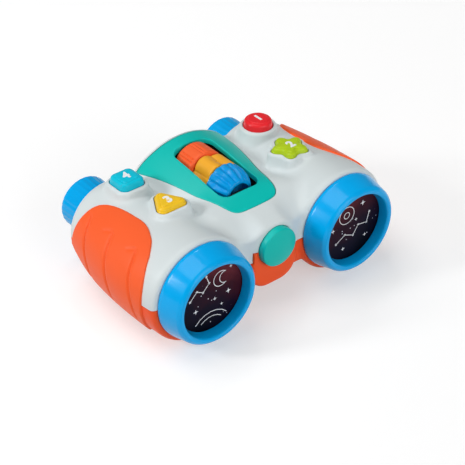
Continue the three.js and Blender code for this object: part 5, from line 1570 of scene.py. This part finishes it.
@dataclass(frozen=True)
class SkyPrint:
    """Plain night-sky motifs printed on the picture discs: stars, a crescent and constellations."""

    form: BodyForm
    depth: float = 7.28
    proud: float = 0.06
    line: float = 0.42

    def plate(self, outline: Sequence[Place]) -> Mesh:
        """Thin printed patch over an outline, across and up from the lens's middle.

        Args:
            outline: The patch's corners in order.

        Returns:
            The patch as a closed bmesh.
        """
        mesh = bmesh.new()
        y = self.form.front + self.depth
        face = mesh.faces.new([mesh.verts.new((x, y, z)) for x, z in outline])
        made = bmesh.ops.extrude_face_region(mesh, geom=[face])["geom"]
        bmesh.ops.translate(mesh, verts=new_verts(made), vec=(0, -self.proud, 0))
        return mesh

    def star(self, x: float, z: float, size: float, points: int = 4) -> Mesh:
        """Pointed star."""
        outline = []
        for i in range(2 * points):
            angle = QUARTER + math.pi * i / points
            reach = size if i % 2 == 0 else size * (0.3 if points == 4 else 0.45)
            outline.append((x + reach * math.cos(angle), z + reach * math.sin(angle)))
        return self.plate(outline)

    def stroke(self, start: Place, end: Place) -> Mesh:
        """Straight printed line between two places."""
        along = (Vector(end) - Vector(start)).normalized()
        aside = Vector((-along.y, along.x)) * self.line / 2
        a, b = Vector(start), Vector(end)
        return self.plate([tuple(a + aside), tuple(a - aside), tuple(b - aside), tuple(b + aside)])

    def arc(self, x: float, z: float, radius: float, start: float, end: float) -> list[Mesh]:
        """Printed part of a circle between two angles in degrees, as short strokes."""
        steps = max(int(abs(end - start) / 15), 2)
        angles = [math.radians(lerp(start, end, i / steps)) for i in range(steps + 1)]
        dots = [(x + radius * math.cos(a), z + radius * math.sin(a)) for a in angles]
        return [self.stroke(a, b) for a, b in zip(dots, dots[1:])]

    def crescent(self, x: float, z: float, radius: float) -> list[Mesh]:
        """Outlined crescent."""
        return self.arc(x, z, radius, 50, 310) + self.arc(x + radius * 0.62, z, radius * 0.78, 80, 280)

    def chain(self, dots: Sequence[Place]) -> list[Mesh]:
        """Constellation: small stars joined by lines."""
        lines = [self.stroke(a, b) for a, b in zip(dots, dots[1:])]
        return lines + [self.star(x, z, 1.1, 5) for x, z in dots]

    def layout(self, side: Side) -> list[Mesh]:
        """All motifs of one disc."""
        if side is Side.LEFT:
            made = self.crescent(7.5, 9.5, 5.2)
            made += self.chain([(-15, 3), (-10, 8), (-5.5, 5.5), (-1, 10), (-3, 15.5)])
            made += self.arc(0, -26, 15, 40, 140) + self.arc(0, -26, 11.5, 50, 130)
            sparks = [
                (13, -2, 2.0), (-11, -6, 1.8), (3, -3, 1.4), (-16, 11, 1.3), (15, 15, 1.3), (8, -9, 1.2)]
        else:
            made = self.chain([(-12, -9), (-5, -5), (2, -8), (6, -2), (13, -3), (15, 4)])
            made += self.arc(-4, 9, 6.0, 0, 360) + self.arc(-4, 9, 2.2, 0, 360)
            sparks = [
                (9, 13, 2.1), (-15, 2, 1.7), (4, 3, 1.3), (-6, -15, 1.6), (12, -12, 1.4), (-13, 14, 1.2)]
        made += [self.star(x, z, size) for x, z, size in sparks]
        return made

    def build(self, dresser: Dresser) -> None:
        """Make the printed motifs of both discs."""
        for side in Side:
            whole = bmesh.new()
            for patch in self.layout(side):
                held = bpy.data.meshes.new("patch")
                patch.to_mesh(held)
                patch.free()
                whole.from_mesh(held)
                bpy.data.meshes.remove(held)
            bmesh.ops.translate(whole, verts=whole.verts, vec=(side.value * self.form.barrel_x, 0, 0))
            dresser.dress(
                Bench.blank("motifs", whole), f"{side.word}_motifs", Finish.PRINT.material())


@dataclass(frozen=True)
class Roller:
    """One spinning roller with its own grip pattern."""

    name: str
    start: float
    finish: Finish
    slot: str
    pattern: Pattern
    radius: float = 14.1
    length: float = 15.2
    edge: float = 1.8
    taper: float = 0.0
    taper_length: float = 9.5
    taper_power: float = 1.6
    hollow: float = 0.0
    rim_wall: float = 1.6
    bore: float = 2.3
    z: float = 25.2
    points: int = 360
    bands: int = 18

    def drop(self, y: float) -> float:
        """How far the roller has drawn in at a place along it."""
        front, back = y - self.start, self.start + self.length - y
        nose = self.taper * max(1 - front / self.taper_length, 0.0) ** self.taper_power
        return nose + BodyForm.edge_inset(front, self.edge) + BodyForm.edge_inset(back, self.edge)

    def build(self, dresser: Dresser) -> None:
        """Make the roller as loops along its axle."""
        end = self.start + self.length
        rounding = [self.edge * (1 - math.cos(angle)) for angle in quarter(6)]
        inner = [lerp(self.start + self.edge, end - self.edge, i / self.bands) for i in range(1, self.bands)]
        rows = [self.start + d for d in rounding] + inner + [end - d for d in reversed(rounding)]
        floor = self.start + self.hollow
        loops = [self.circle(floor, self.bore)]
        if self.hollow > 0:
            inner_radius = self.radius - self.drop(rows[1]) - self.rim_wall
            loops += [self.circle(floor, inner_radius), self.circle(self.start, inner_radius)]
        for y in rows:
            loops.append(self.circle(y, self.radius - self.drop(y), self.pattern))
        loops.append(self.circle(end, self.bore))
        dresser.dress(
            Bench.loft(self.name, loops, ring=True), f"{self.name}_barrel", self.finish.material(),
            self.name, [self.name], MOULDED_CREASE)

    def circle(self, y: float, radius: float, pattern: Pattern | None = None) -> Loop:
        """Loop round the axle.

        Args:
            y: Its place along the axle.
            radius: Its radius.
            pattern: The grip pattern that is taken off it.

        Returns:
            The loop's points.
        """
        along = (y - self.start) / self.length
        made = []
        for i in range(self.points):
            angle = math.tau * i / self.points
            reach = radius - pattern(angle, along) if pattern else radius
            made.append(Vector((reach * math.sin(angle), y, self.z + reach * math.cos(angle))))
        return made


def flutes(count: int, depth: float, sharp: float) -> Pattern:
    """Pattern of rounded flutes that fade towards a roller's ends.

    Args:
        count: Flutes round the roller.
        depth: Their depth.
        sharp: How narrow they are; 1 is a plain wave.

    Returns:
        Depth of the pattern at an angle and at a share of the roller's length.
    """
    def pattern(angle: float, along: float) -> float:
        """Depth of the flutes at one place."""
        wave = (0.5 - 0.5 * math.cos(count * angle)) ** sharp
        ends = smoothstep(min(along, 1 - along), 0.02, 0.24)
        return depth * wave * (0.3 + 0.7 * ends)
    return pattern


def knobs(count: int, depth: float, turn: float) -> Pattern:
    """Pattern of round knobs with soft valleys between them.

    Args:
        count: Knobs round the roller.
        depth: Depth of the valleys.
        turn: Angle of the first knob's crest.

    Returns:
        Depth of the pattern at an angle and at a share of the roller's length.
    """
    def pattern(angle: float, along: float) -> float:
        """Depth of the valleys at one place."""
        wave = abs(math.cos(count * (angle - turn) / 2)) ** 1.2
        waist = math.sin(math.pi * along)
        return depth * (1 - wave) * (0.6 + 0.4 * waist)
    return pattern


def pairs(count: int, depth: float, apart: float, half_width: float) -> Pattern:
    """Pattern of thin grooves in pairs.

    Args:
        count: Pairs round the roller.
        depth: Depth of a groove.
        apart: Angle between the two grooves of a pair.
        half_width: Half width of a groove as an angle.

    Returns:
        Depth of the pattern at an angle and at a share of the roller's length.
    """
    def pattern(angle: float, along: float) -> float:
        """Depth of the grooves at one place."""
        pitch = math.tau / count
        spot = abs((angle + pitch / 2) % pitch - pitch / 2) - apart / 2
        ends = smoothstep(min(along, 1 - along), 0.02, 0.14)
        return depth * ends * math.exp(-(spot / half_width) ** 2)
    return pattern


class Insides:
    """Pieces that keep their CAD shape: boards, cells, screws and the switch."""

    FINISHES: dict[str, Finish] = {
        "reflector": Finish.REFLECTOR, "light_board": Finish.BOARD, "lamp": Finish.CLEAR,
        "button_switch": Finish.DARK, "button_board": Finish.BOARD, "roller_axle": Finish.STEEL,
        "roller_cradle": Finish.GREY, "battery_tray": Finish.DARK, "left_battery": Finish.JACKET,
        "right_battery": Finish.JACKET, "contact": Finish.STEEL, "battery_door_screw": Finish.STEEL,
        "battery_door": Finish.ORANGE, "main_circuit_board": Finish.BOARD, "power_switch": Finish.DARK,
        "speaker": Finish.DARK, "case_screw": Finish.STEEL,
    }

    def build(self, dresser: Dresser) -> None:
        """Finish each carried-over node."""
        for node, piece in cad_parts.items():
            if piece.hide_render:
                continue
            match = next((word for word in self.FINISHES if word in node), None)
            if match is None:
                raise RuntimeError(f"no finish is named for {node}")
            dresser.keep(node, self.FINISHES[match])


@dataclass(frozen=True)
class Studio:
    """Pale floor, soft lamps and the camera."""

    eye: Vector = Vector((-0.4801, -0.5938, 0.5711))
    target: Vector = Vector((-0.04481, -0.067, 0.079))
    lens: float = 117.3
    floor_size: float = 6.0
    floor_tone: float = 0.62
    floor_glow: float = 0.46
    surroundings: float = 0.15

    def floor(self) -> None:
        """Wide pale floor, which looks lighter than the light that it throws back."""
        mesh = bmesh.new()
        bmesh.ops.create_grid(mesh, x_segments=1, y_segments=1, size=self.floor_size)
        floor = Bench.blank("floor", mesh)
        made = bpy.data.materials.new("pale_floor")
        graph = Graph(made)
        path = graph.tree.nodes.new("ShaderNodeLightPath").outputs
        seen = graph.add(
            "Math", "Value", {0: path["Is Camera Ray"], 1: path["Is Glossy Ray"]}, operation="MAXIMUM")
        clear = graph.add("Math", "Value", {0: seen, 1: path["Is Transmission Ray"]}, operation="MAXIMUM")
        graph.shade({
            "Base Color": (self.floor_tone, self.floor_tone, self.floor_tone, 1.0),
            "Roughness": 0.9,
            "Specular IOR Level": 0.0,
            "Emission Color": (1.0, 1.0, 1.0, 1.0),
            "Emission Strength": graph.add(
                "Math", "Value", {0: clear, 1: self.floor_glow}, operation="MULTIPLY"),
        })
        floor.data.materials.append(made)

    def world(self) -> None:
        """Even white surroundings, which the camera sees at full white."""
        world = bpy.data.worlds.new("studio")
        graph = Graph(world)
        bpy.context.scene.world = world
        camera = graph.add("LightPath", "Is Camera Ray", {})
        graph.fill(graph.tree.nodes["Background"], {
            "Color": (1.0, 1.0, 1.0, 1.0),
            "Strength": graph.add("Math", "Value", {0: camera, 1: self.surroundings}, operation="MAXIMUM"),
        })

    @staticmethod
    def place(name: str, data: bpy.types.ID, spot: Vector, aim: Vector) -> Piece:
        """Stand a lamp or the camera in the scene.

        Args:
            name: Its name.
            data: The lamp or camera.
            spot: Where it stands.
            aim: Which way it looks.

        Returns:
            The new object.
        """
        made = bpy.data.objects.new(name, data)
        made.location = spot
        made.rotation_mode = "QUATERNION"
        made.rotation_quaternion = aim.to_track_quat("-Z", "Y")
        bpy.context.scene.collection.objects.link(made)
        return made

    def lamp(self, name: str, spot: Vector, size: tuple[float, float], power: float) -> None:
        """Soft lamp that looks at the toy.

        Args:
            name: Name of the lamp.
            spot: Where it stands.
            size: Its width and height.
            power: Its power in watts.
        """
        data = bpy.data.lights.new(name, "AREA")
        data.shape = "RECTANGLE"
        data.size, data.size_y = size
        data.energy = power
        self.place(name, data, spot, Vector((0, 0, 0.04)) - spot)

    def sun(self, name: str, source: Vector, spread: float, strength: float) -> None:
        """Wide even light from one side.

        Args:
            name: Name of the light.
            source: The side that it comes from.
            spread: How wide it looks, in degrees.
            strength: Its strength.
        """
        data = bpy.data.lights.new(name, "SUN")
        data.angle = math.radians(spread)
        data.energy = strength
        self.place(name, data, Vector(), -source)

    def camera(self) -> None:
        """Camera at the photograph's angle."""
        data = bpy.data.cameras.new("camera")
        data.sensor_width = 36.0
        data.lens = self.lens
        data.clip_start, data.clip_end = 0.01, 50.0
        bpy.context.scene.camera = self.place("camera", data, self.eye, self.target - self.eye)

    def build(self) -> None:
        """Set up the whole studio."""
        bpy.context.scene.view_settings.view_transform = "Standard"
        self.floor()
        self.world()
        self.lamp("window", Vector((-1.0, 0.4, 0.62)), size=(0.2, 0.32), power=6.0)
        self.lamp("skylight", Vector((0.235, 0.42, 1.08)), size=(0.12, 0.06), power=0.7)
        self.sun("ceiling", Vector((-0.25, 0.22, 0.93)), spread=40.0, strength=1.15)
        self.sun("front", Vector((0.05, -0.95, 0.32)), spread=50.0, strength=1.6)
        self.camera()


def main() -> None:
    """Build every sub-assembly."""
    logging.basicConfig(level=logging.INFO, format="%(name)s: %(message)s")
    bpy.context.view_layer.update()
    form = BodyForm()
    dresser = Dresser(form.axis_height)
    buttons = [
        PressButton(
            ButtonShape.ROUND, size=9.4, corner=0.0, x=51.2, y=24.0, rise=5.2, flare=7.0,
            finish=Finish.RED, slot="red_button", numeral="1"),
        PressButton(
            ButtonShape.STAR, size=10.1, corner=1.7, x=48.0, y=-9.5, rise=3.6, flare=2.4,
            finish=Finish.GREEN, slot="green_button", numeral="2"),
        PressButton(
            ButtonShape.TRIANGLE, size=6.9, corner=3.9, x=-46.1, y=-9.5, rise=3.6, flare=4.5,
            finish=Finish.YELLOW, slot="yellow_button", numeral="3"),
        PressButton(
            ButtonShape.SQUARE, size=8.6, corner=4.4, x=-51.2, y=24.0, rise=5.2, flare=7.0,
            finish=Finish.TEAL, slot="teal_button", numeral="4"),
    ]
    panel, nose = TopPanel(form), Nose(form)
    rollers = [
        Roller(
            "wavy_roller", start=-19.2, finish=Finish.BLUE_ROLLER, slot="blue_roller",
            pattern=flutes(count=16, depth=1.4, sharp=1.6), length=15.46, edge=0.5, taper=4.4, hollow=6.0),
        Roller(
            "lobed_roller", start=-3.14, finish=Finish.AMBER_ROLLER, slot="yellow_roller",
            pattern=knobs(count=5, depth=3.4, turn=math.radians(50))),
        Roller(
            "ribbed_roller", start=12.66, finish=Finish.ORANGE_ROLLER, slot="orange_roller",
            pattern=pairs(count=9, depth=0.6, apart=0.17, half_width=0.03)),
    ]
    housing = Housing(form, buttons, panel, nose)
    lenses = [LensUnit(form), SkyPrint(form)]
    for part in [housing, panel, nose, SideGrip(form), *lenses, *buttons, *rollers, Insides()]:
        part.build(dresser)
    Studio().build()


if __name__ == "__main__":
    main()
